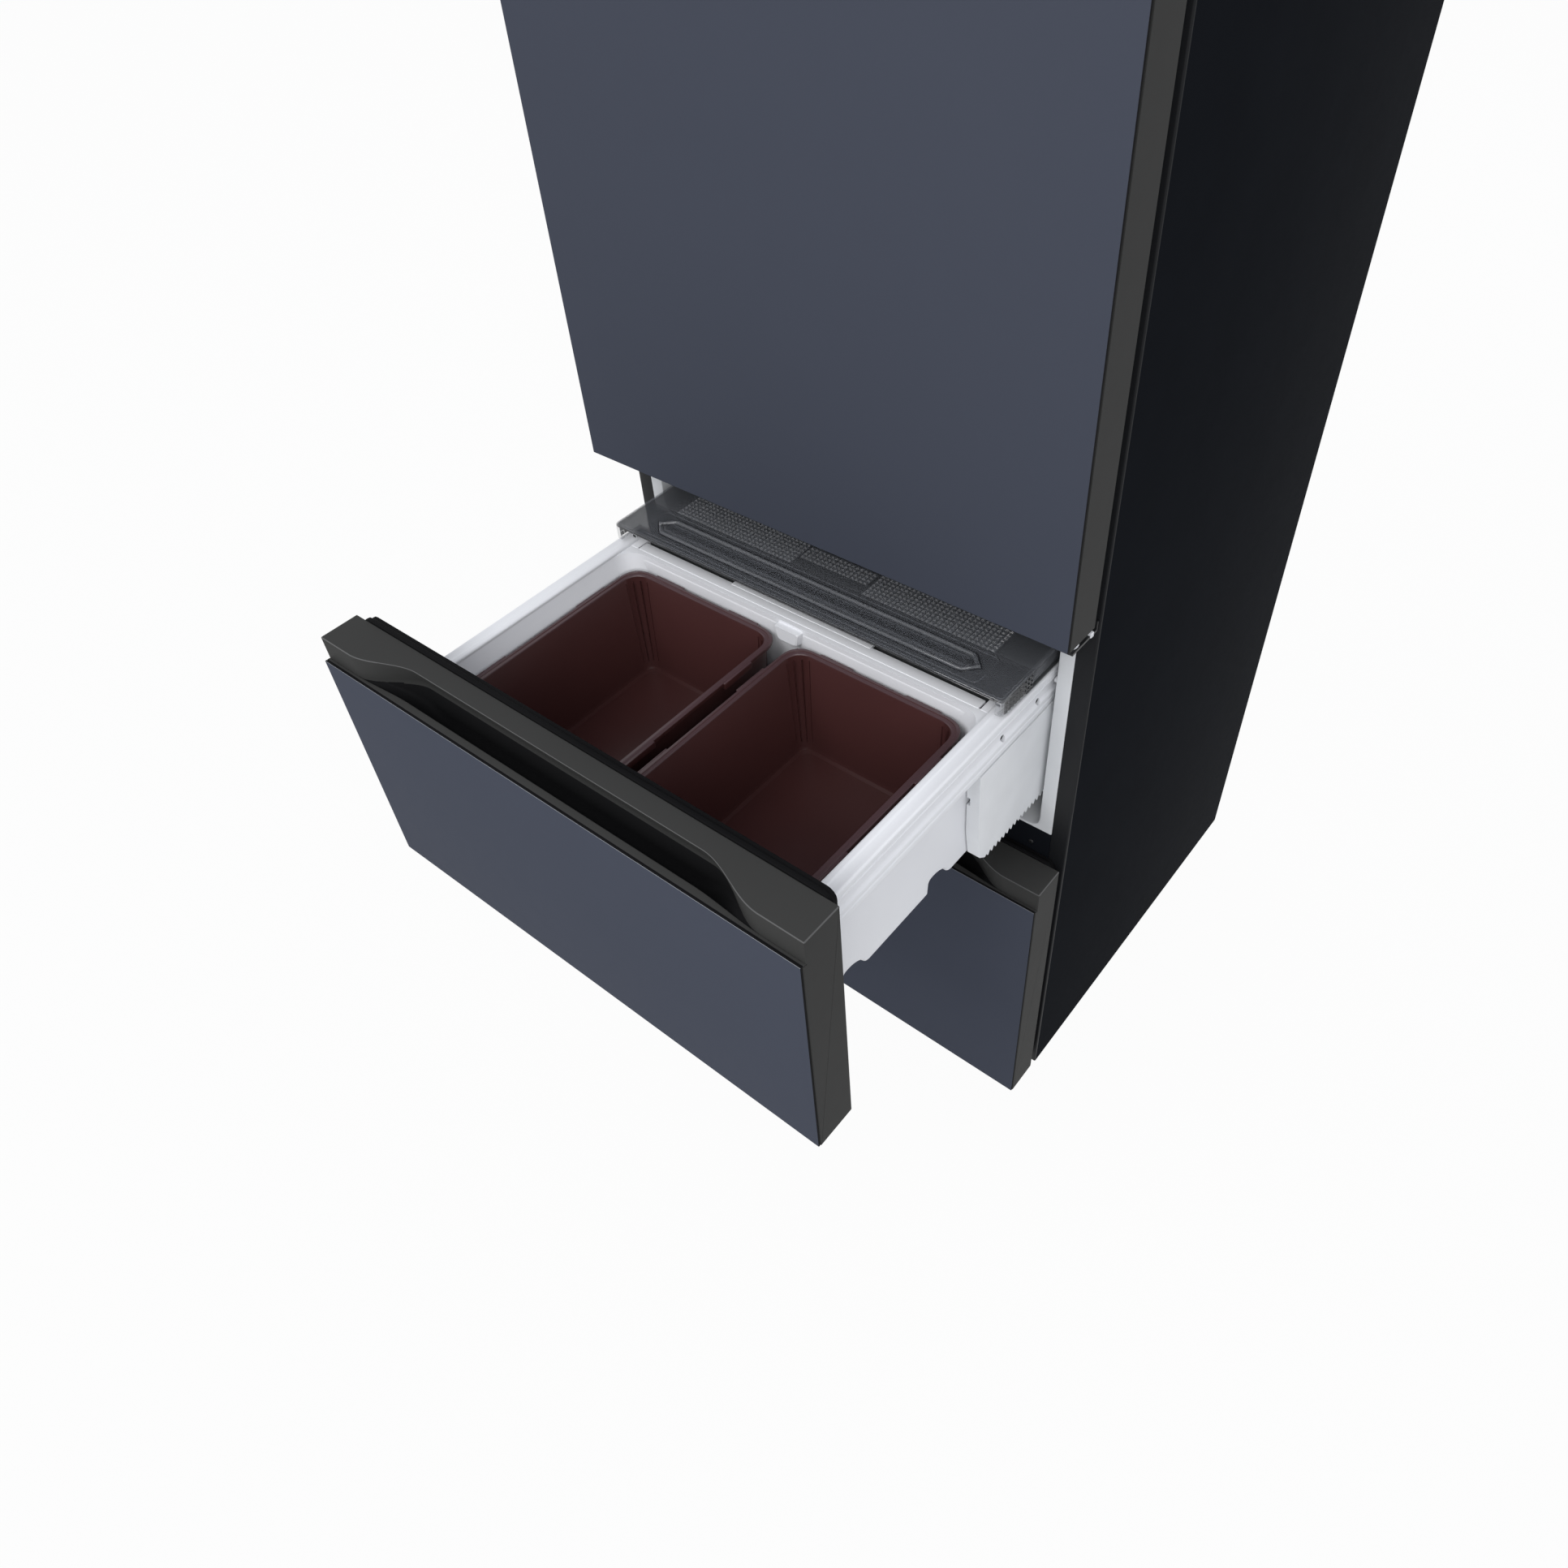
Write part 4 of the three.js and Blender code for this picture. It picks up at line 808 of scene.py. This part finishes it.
def bin_ribs(name, body, rim):
    """What carries the rails behind the tub, the runner ribs, a stop for the cover, and the dark wings of the deck."""
    ribs = bmesh.new()
    for _, side in SIDES:
        for x0, x1, y0, z0, z1, ease in ((275.6, 279.4, 338, 111, 7, 0.8), (278.6, 284.5, 345, 107, 97, 1),
                                         (264.3, 276.4, 338, 22, 4, 1), (254, 266, 352, 22, 16.3, 0.8)):
            low, high = sorted((side * x0, side * x1))
            block(ribs, (low, y0, rim - z0), (high, 532 if x0 != 278.6 else 525, rim - z1), ease)
        low, high = sorted((side * 276.5, side * 283.5))
        block(ribs, (low, 350, rim - 1), (high, 353, rim + 13), 0.8)
        block(ribs, (low, 350, rim - 1), (high, 372, rim + 4), 0.8)
    finished(name + "_bin_ribs", ribs, WHITE, body)
    wings = bmesh.new()
    for _, side in SIDES:
        low, high = sorted((side * 262, side * 295))
        block(wings, (low, 384, rim - 0.4), (high, 525, rim + 2), 0.8)
    finished(name + "_deck_wings", wings, DECK, body)


def bin_rear(name, body, rim):
    """The stepped rear edge with its lip, and the clip that parts the two containers."""
    rear = bmesh.new()
    shelf = [(331.4, -34, 0.3), (331.4, -12, 2), (334, -8.5, 2), (337.6, -8, 1), (338.2, -4, 1), (354, -4, 1.4), (354, -51, 1),
             (351, -51, 1), (351, -8, 2), (340.2, -8, 1), (340.2, -34, 0.3)]
    bar(rear, eased([(y, rim + z, r) for y, z, r in shelf], 3), "x", -262, 262, 1.2)
    block(rear, (-111, 350, rim - 8), (105, 360.8, rim - 3.2), 1.2)
    clip = [lifted(eased([(-w, 0, 3), (4 - w, -h, 4), (w - 4, -h, 4), (w, 0, 3)], 4), "y", y)
            for y, w, h in ((333, 20, 21), (326, 19, 20), (323.6, 18.4, 19.2), (322.6, 17, 17.8))]
    loft(rear, [[(x, y, z + rim - 8) for x, y, z in section] for section in clip])
    finished(name + "_bin_rear", rear, WHITE, body)


for drawer in (MIDDLE, LOWER):
    place = (drawer["name"], drawer["name"] + "_drawer", drawer["top"] - RIM)
    tub = bin_tub(*place, drawer["tub"])
    bin_rails(*place)
    bin_ribs(*place)
    bin_rear(*place)
    print(drawer["name"], "tub faces", len(tub.data.polygons))

# %% [markdown]
# ## Containers
# Four open boxes of dark red-brown plastic stand in the bins. Their walls lean out a little, the
# corners are round, and the rolled rim carries pairs of latch tabs. Rounded rectangles at rising
# heights are skinned, outside first and then down the inside, so the wall is one closed shell.

# %% Containers
BOX = {"inner": 11, "outer": 260, "front": -1.5, "back": 326}


def container(drawer, label, side):
    name, body = drawer["name"], drawer["name"] + "_drawer"
    rim, base = drawer["top"] - 99.9, drawer["tub"] + 25.3

    def plan(inset, radius, z):
        x0, x1 = (BOX["inner"], BOX["outer"]) if side > 0 else (-BOX["outer"], -BOX["inner"])
        return lifted(round_rectangle(x0 + inset, x1 - inset, BOX["front"] + inset, BOX["back"] - inset, radius, 10), "z", z)

    steps = [(22, 18, base), (17, 22, base + 1.2), (13.5, 24, base + 6), (6.2, 26, rim - 7), (0.4, 30, rim - 6),
             (0, 30, rim - 5.4), (0, 30, rim - 1), (0.5, 30, rim - 0.3), (1.2, 29, rim), (4, 27.5, rim),
             (4.4, 27, rim - 0.8), (5.4, 26.5, rim - 1), (8, 25, rim - 1.2), (8.8, 24.5, rim - 2.4), (16.2, 20, base + 8),
             (19, 17, base + 3.4), (24, 14, base + 2.5)]
    bm = loft(bmesh.new(), [plan(*step) for step in steps])
    middle = side * (BOX["inner"] + BOX["outer"]) / 2
    for y in (80, 245):
        for x in (BOX["inner"] - 0.6, BOX["outer"] + 0.6):
            low, high = sorted((side * (x - 1.9), side * (x + 1.9)))
            block(bm, (low, y - 24, rim - 10), (high, y + 24, rim - 0.8), 0.8)
    for dx in (-62, 62):
        block(bm, (middle + dx - 24, BOX["back"] - 1.3, rim - 10), (middle + dx + 24, BOX["back"] + 2.4, rim - 0.8), 0.8)
    for corner in range(4):
        right, rear = corner % 2, corner // 2
        for turn in (15, 35, 55, 75):
            angle = math.radians(turn)
            out = Vector((math.cos(angle) * (1 if right else -1), math.sin(angle) * (1 if rear else -1)))
            x = (BOX["outer"] - 36 if right == (side > 0) else BOX["inner"] + 36) * side
            hub = Vector((x, BOX["back"] - 36 if rear else BOX["front"] + 36))
            foot, head = hub + out * 21.2, hub + out * 27.6
            across = Vector((-out.y, out.x)) * 0.7
            loft(bm, [[(*(place + across), z), (*(place - across), z), (*(place - out * 2), z)]
                      for place, z in ((foot + out * 0.6, base + 16), (head + out * 0.6, rim - 8))])
    node = f"{name}_container_{label}"
    piece = finished(node + "_box", bm, BURGUNDY, body, (node,))
    # Upward faces at the rim are painted lighter: a painted sheen on the rim's top.
    return refaced(piece, BURGUNDY_PAINTED_SHEEN, lambda spot, normal: spot.z > rim - 2 and normal.z > 0.5)


for drawer in (MIDDLE, LOWER):
    for label, side in SIDES:
        container(drawer, label, side)

# %% [markdown]
# ## Sliding covers
# The cover over the back of each drawer is one sheet of smoke-clear plastic. It has short skirts, a
# long raised lens with pointed ends, fine lines along it, and fields of small raised diamonds.

# %% Covers
COVER_DROP = 50.9
LENS_BEAD = ((0, -0.6), (0.4, 1.5), (1.2, 2.5), (2.2, 2.9), (3.4, 2.6), (4.6, 1.6), (5.4, -0.6))
LINE_BEAD = ((0, -0.4), (0.2, 0.6), (0.9, 0.6), (1.1, -0.4))
DIAMOND = 6.4


def diamond(bm, at, turned):
    """One small raised diamond; they come in hundreds, so each has only six faces."""
    spot = Matrix.Translation(at) @ turned @ Matrix.Rotation(math.pi / 4, 4, "Z")
    bmesh.ops.create_cone(bm, cap_ends=True, segments=4, radius1=4.2, radius2=1.3, depth=2.2, matrix=spot)


def cover(drawer):
    name, body = drawer["name"], drawer["name"] + "_drawer_cover"
    z = drawer["top"] - COVER_DROP
    half, front, back = 294.5, 12, 432
    bm = bmesh.new()
    plan = eased([(-half, back, 1), (-half, front, 7), (half, front, 7), (half, back, 1)], 6)
    layers = [(1.1, z - 3), (0.3, z - 2.6), (0, z - 1.8), (0.1, z - 0.8), (0.8, z - 0.1), (1.6, z)]
    loft(bm, [lifted(pulled_in(plan, inset), "z", height) for inset, height in layers])
    tips = eased([(-246, 45, 0.8), (-229, 28, 4), (229, 28, 4), (246, 45, 0.8), (229, 62, 4), (-229, 62, 4)], 3)
    bead(bm, tips, LENS_BEAD, z)
    loft(bm, [lifted(pulled_in(tips, inset), "z", z + rise) for inset, rise in ((6.6, -0.5), (6.6, 0.9), (8.4, 1.5))])
    bead(bm, round_rectangle(-256, 256, 20, 70, 9), LINE_BEAD, z)
    bead(bm, pulled_in(plan, 2.6), LINE_BEAD, z)
    for x in (-168, -96, -14, 62, 148):
        block(bm, (x - 0.4, 70, z - 0.6), (x + 0.4, 75, z + 0.5), 0.3)
        block(bm, (x + 21, 15.4, z - 0.6), (x + 21.8, 20, z + 0.5), 0.3)
    for _, side in SIDES:
        skirt = eased([(side * half, front + 64, 0.5), (side * half, front, 7), (side * (half - 9), front, 0.5),
                       (side * (half - 9), front + 2.4, 0.5), (side * (half - 2.4), front + 2.4, 5),
                       (side * (half - 2.4), front + 64, 0.5)], 5)
        loft(bm, [lifted(pulled_in(skirt, inset), "z", z + rise)
                  for inset, rise in ((0.5, -23), (0, -22.4), (0, -1.8), (0.5, -1.4))])
        low, high = sorted((side * (half - 2.4), side * half))
        block(bm, (low, front + 63, z - 19), (high, back, z - 1.4), 0.7)
        low, high = sorted((side * (half - 1), side * (half + 8)))
        block(bm, (low, 171, z - 15), (high, 411, z - 9), 0.8)
    piece = finished(name + "_clear_cover", bm, SMOKE, body, (name + "_cover",))
    # The lip round the edge and the lines round the lens are in the dark copy: painted dark lines standing in for the
    # refraction at the clear edges.
    rim = bmesh.new()
    end = back - 1
    lip = eased([(-half, end, 0.5), (-half, front, 7), (half, front, 7), (half, end, 0.5),
                 (half - 2, end, 0.5), (half - 2, front + 2, 5), (2 - half, front + 2, 5), (2 - half, end, 0.5)], 6)
    loft(rim, [lifted(pulled_in(lip, inset), "z", z + rise) for inset, rise in ((0.5, -4.7), (0, -4.2), (0, -3.5), (0.5, -3.1))])
    for distance in (-1.6, 7.2):
        bead(rim, pulled_in(tips, distance), LINE_BEAD, z + 0.1)
    finished(name + "_cover_lip", rim, SMOKE_PAINTED_DARK_EDGE, body)
    dots = bmesh.new()
    for x0, x1, y0, y1 in ((-243, -51, 76, 172), (58, 249, 76, 172), (-49, 56, 92, 122)):
        for row in range(int((y1 - y0) / DIAMOND)):
            for column in range(int((x1 - x0) / DIAMOND)):
                diamond(dots, (x0 + (column + 0.5) * DIAMOND, y0 + (row + 0.5) * DIAMOND, z + 0.5), Matrix())
    finished(name + "_cover_grip", dots, SMOKE, body)
    # The side diamonds are in the dark copy too: painted shade.
    side_dots = bmesh.new()
    for _, side in SIDES:
        outwards = Matrix.Rotation(side * math.pi / 2, 4, "Y")
        for row in range(3):
            for column in range(9):
                diamond(side_dots, (side * (half + 0.2), front + 9 + column * DIAMOND, z - 7.4 - row * DIAMOND), outwards)
    finished(name + "_cover_side_grip", side_dots, SMOKE_PAINTED_DARK_EDGE, body)
    return piece


for drawer in (MIDDLE, LOWER):
    print(drawer["name"], "cover faces", len(cover(drawer).data.polygons))

# %% [markdown]
# ## The steel casing
# Two sides and a top are one folded sheet with a flat edge round the front. Its section, an L, is
# drawn up one side, across the top and down the other. The two top corners are small arcs, and the
# part of the section that is wider than the arc keeps a sharp mitre.

# %% Casing
CASING = {"bottom": 25.5, "top": 1838, "depth": 625.2, "flange": 23.5, "corner": 4}


def casing():
    flange, corner, sheet = CASING["flange"], CASING["corner"], 1
    section = eased([(0, CASING["depth"], 0.2), (0, 0, 2.4), (flange, 0, 0.4), (flange, sheet, 0.4),
                     (sheet, sheet, 1), (sheet, CASING["depth"], 0.2)], 4)

    def point(inwards, turn, side):
        reach = max(0, corner - inwards)
        x = HALF - corner if inwards < corner else HALF - inwards
        z = CASING["top"] - (corner if inwards < corner else inwards)
        return side * (x + reach * math.cos(turn)), z + reach * math.sin(turn)

    path = [(-1, i * math.pi / 16) for i in range(9)] + [(1, math.pi / 2 - i * math.pi / 16) for i in range(9)]
    sections = [[(p.x - HALF, p.y, CASING["bottom"]) for p in section]]
    for side, turn in path:
        corners = [point(p.x, turn, side) for p in section]
        sections.append([(x, p.y, z) for p, (x, z) in zip(section, corners)])
    sections.append([(HALF - p.x, p.y, CASING["bottom"]) for p in section])
    piece = finished("steel_casing", loft(bmesh.new(), sections), BLACK_STEEL, "cabinet", ("outer_casing",))
    # Faces that look forwards are painted a little lighter: a painted highlight on the flange and the rounded front
    # corner.
    return refaced(piece, STEEL_PAINTED_HIGHLIGHT, lambda spot, normal: normal.y < -0.1)


print("casing faces", len(casing().data.polygons))

# %% [markdown]
# ## The rooms' linings
# A lining is vacuum-formed, so it has no sharp edge anywhere. It is skinned from its back wall
# forwards, over the flange at the front, and back again on the outside. The lower one climbs a
# step at the back, where the compressor stands. Runner ribs and shelf ribs are moulded on the sides.

# %% Linings
OPENING, DEPTH, FLANGE_HALF = 304, 565, 323.7
SHELVES = (1150, 1370, 1590)
STEP_RISE = [(376, 0), (384, 3), (388, 11), (390, 24), (390.6, 195), (393, 206), (398, 212), (404, 213)]


def lining_shell(bm, bottom, top, radius, flange_top, step=()):
    """The shell from the inner back wall to the flange and back outside; a step lifts its floor."""
    def ring(y, grow, corner, lift=0.0):
        x, low, high = OPENING + grow, bottom - grow + lift, top + grow
        return lifted(round_rectangle(-x, x, low, high, max(corner, 1), 6), "y", y)

    def rim(y, ease):
        x = FLANGE_HALF - ease
        return lifted(round_rectangle(-x, x, bottom - 3 + ease, flange_top - ease, 2, 6), "y", y)

    back = 14
    raised = step[-1][1] if step else 0
    turns = [math.pi / 2 * i / 4 for i in range(5)]
    sections = [ring(DEPTH - back * (1 - math.cos(t)), -back * (1 - math.sin(t)), radius, raised) for t in turns]
    sections += [ring(y, 0, radius, lift) for y, lift in reversed(step)]
    sections += [ring(3, 0, radius), ring(0.9, 0.9, radius + 1), ring(0, 3, radius + 3), rim(0, 0.4), rim(0.4, 0), rim(2, 0)]
    sections += [ring(2.2, 3, radius + 3)]
    sections += [ring(y + 3, 3, radius + 3, lift) for y, lift in step]
    sections += [ring(DEPTH + 3 - back * (1 - math.cos(t)), 3 - back * (1 - math.sin(t)), radius, raised)
                 for t in reversed(turns)]
    return loft(bm, sections)


def side_block(bm, side, x0, x1, y0, y1, z0, z1, ease=0.8):
    low, high = sorted((side * x0, side * x1))
    return block(bm, (low, y0, z0), (high, y1, z1), ease)


def runner(bm, side, drawer, floor):
    """On each side wall: two ribs that hold the slide's tongue, the cover's ledge, a bearing and a peg."""
    tongue = drawer["top"] - 153
    for z0, z1 in ((tongue - 21.8, tongue - 12.8), (tongue + 0.8, tongue + 9.8)):
        side_block(bm, side, 299.4, OPENING + 1, 12, 500, z0, z1, 1.4)
    side_block(bm, side, 299.4, OPENING + 1, 15, 560, drawer["top"] - 76, drawer["top"] - 66.4, 1.2)
    axle = drawer["slide"] + 2.7 - 10 * 8.5 / (2 * math.pi)
    side_block(bm, side, 299.4, OPENING + 1, 137, 163, floor - 1, axle + 11, 1.6)
    low, high = sorted((side * 299.6, side * (OPENING + 0.5)))
    bar(bm, circle(8, drawer["top"] - 92, 3.6), "x", low, high, 0.8)


def lining(name, bottom, top, radius, flange_top, step=(), drawer=None):
    bm = lining_shell(bmesh.new(), bottom, top, radius, flange_top, step)
    for _, side in SIDES:
        if drawer:
            runner(bm, side, drawer, bottom)
            continue
        for z in SHELVES:
            side_block(bm, side, OPENING - 8, OPENING + 1, 120, 500, z - 6.3, z - 0.3, 1.6)
    return finished(name + "_lining", bm, LINER, "cabinet", (name + "_liner",))


lining("upper", 922, 1800, 16, 1814.2)
lining("middle", 550, 866, 16, 869, drawer=MIDDLE)
lining("lower", 92, 486, 14, 489, STEP_RISE, LOWER)

# %% [markdown]
# ## Door bins and shelf trims
# A door bin is a deep tray with round corners and a band under its rim. Each glass shelf has a white
# trim in front, which takes the eye where the glass itself hardly shows, and a stop at the back.

# %% Bins and trims
DOOR_BINS = (970, 1230, 1490)


def door_bin(number, z):
    def plan(inset, radius, height):
        x = 266 - inset
        return lifted(round_rectangle(-x, x, -12.3 + inset, 98 - inset, radius, 8), "z", z + height)

    steps = [(9, 10, 0), (4.4, 12, 0.6), (2.2, 13, 3), (1.4, 13, 8), (1.2, 13, 64), (0.2, 14, 66), (0, 14, 68), (0, 14, 90),
             (0.5, 14, 91.4), (1.4, 13.5, 92), (3, 12.5, 92), (3.8, 12, 91.2), (4, 12, 90), (4.6, 11.5, 12), (6, 11, 6),
             (10, 9, 3.4), (16, 8, 3)]
    bm = loft(bmesh.new(), [plan(*step) for step in steps])
    node = f"door_bin_{number}"
    return finished(node + "_tray", bm, WHITE, "upper_door", (node,))


for number, z in enumerate(DOOR_BINS, 1):
    door_bin(number, z)
trims = bmesh.new()
for z in SHELVES:
    block(trims, (-303, 113, z - 1.8), (303, 125, z + 6), 1.8)
    block(trims, (-303, 492, z - 0.2), (303, 501, z + 9), 1.6)
    for _, side in SIDES:
        side_block(trims, side, 297, 303.4, 113, 500, z - 0.2, z + 5.4, 1.2)
finished("shelf_trims", trims, WHITE, "cabinet")

# %% [markdown]
# ## Screws, feet and small fittings
# Screws fix the hinges, the cross bars and the rear sheets. Identical ones are one piece with many
# small heads. The feet are turned: a wide pad, a hexagon to grip, and a threaded stem.

# %% Small fittings
screws = bmesh.new()
for _, side in SIDES:
    for z in (518, 894):
        screw(screws, "y", side * 297, z, 0, -1, 3.4, 1.6)
for x in (304.5, 318):
    screw(screws, "y", x, 898, -3.3, -1, 3.2, 1.4)
finished("front_screws", screws, DARK_METAL, "cabinet")

rear_screws = bmesh.new()
for _, side in SIDES:
    for step in range(7):
        screw(rear_screws, "y", side * 337, 290 + step * 252, 623.3, 1, 4, 1.7)
    for z in (56, 236):
        screw(rear_screws, "y", side * 322, z, 623.8, 1, 4, 1.3)
for x in (-240, -80, 80, 240):
    screw(rear_screws, "y", x, 1829, 623.3, 1, 4, 1.7)
    screw(rear_screws, "y", x, 277, 623.3, 1, 4, 1.7)
finished("rear_screws", rear_screws, ZINC, "cabinet")


def foot(node):
    low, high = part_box(node)
    x, y = (low.x + high.x) / 2 / MM, (low.y + high.y) / 2 / MM - FRONT_PLANE
    pad = [(19, 0), (20.4, 0.4), (21.7, 1.8), (22, 3), (21.4, 6.4), (20, 9), (18, 9.8), (9.6, 12), (8.2, 13.4), (8, 16)]
    bm = loft(bmesh.new(), [lifted(circle(x, y, r, 32), "z", z) for r, z in pad])
    nut = [(8.6, 15.4), (9.4, 16), (9.4, 20.4), (8.6, 21)]
    loft(bm, [lifted(circle(x, y, r, 6), "z", z) for r, z in nut])
    thread = [(6 - 0.5 * (i % 2), 15 + i * 0.65) for i in range(17)]
    loft(bm, [lifted(circle(x, y, r, 20), "z", z) for r, z in thread])
    return finished(node + "_turned", bm, FOOT, "cabinet", (node,))


for node in ("front_foot_left", "front_foot_right", "rear_foot_left", "rear_foot_right"):
    foot(node)

hinge_bits = bmesh.new()
loft(hinge_bits, [lifted(circle(332, -40.4, r), "z", z) for r, z in ((11, 893), (11.8, 893.6), (11.8, 895), (11, 895.6))])
block(hinge_bits, (339, -17, 890), (346.4, -11, 896.5), 1.2)
finished("middle_hinge_washer", hinge_bits, WHITE, "cabinet")

# %% [markdown]
# ## The other parts
# Casing, mouldings, brackets and machine parts are right in shape already, so they get eased edges
# on a copy of the solid, wide on soft mouldings and narrow on sheet steel.

# %% Eased copies of the solids
EASED = {
    "rear_panel": (ZINC, 0.4), "base_pan": (DARK_METAL, 0.5),
    "upper_mullion": (BLACK_STEEL, 0.5), "lower_mullion": (BLACK_STEEL, 0.5),
    "machine_room_cover": (ZINC, 0.4), "top_hinge_bracket": (ZINC, 0.5), "top_hinge_cover": (CHARCOAL, 1.0),
    "middle_hinge_bracket": (DARK_METAL, 0.5), "duct_cover": (WHITE, 1.0),
    "glass_shelf_1": (GLASS, 0.8), "glass_shelf_2": (GLASS, 0.8), "glass_shelf_3": (GLASS, 0.8),
    "interior_lamp": (LAMP, 1.5), "upper_door_case": (CHARCOAL, 0.8), "upper_door_liner": (LINER, 1.5),
    "middle_rear_deck": (DECK, 0.6), "lower_rear_deck": (DECK, 0.6),
    "middle_slide_left": (SLIDE, 0.35), "middle_slide_right": (SLIDE, 0.35),
    "lower_slide_left": (SLIDE, 0.35), "lower_slide_right": (SLIDE, 0.35),
    "middle_pinion_shaft": (GEAR, 0.3), "lower_pinion_shaft": (GEAR, 0.3),
    "compressor": (DARK_METAL, 0.8), "fan_shroud": (DECK, 0.6),
    "condenser_fan_rotor": (WHITE, 0.4), "evaporator_fan_rotor": (WHITE, 0.4),
}
for node, (material, width) in EASED.items():
    refined(node, material, width)

KEPT = {
    "cabinet_foam": FOAM, "upper_door_foam": FOAM, "middle_front_foam": FOAM, "lower_front_foam": FOAM,
    "condenser_coil": COPPER, "evaporator": ALUMINIUM,
}
for node, material in KEPT.items():
    frame["nodes"][node].material_slots[0].material = material
print("eased", len(EASED), "kept", len(KEPT))
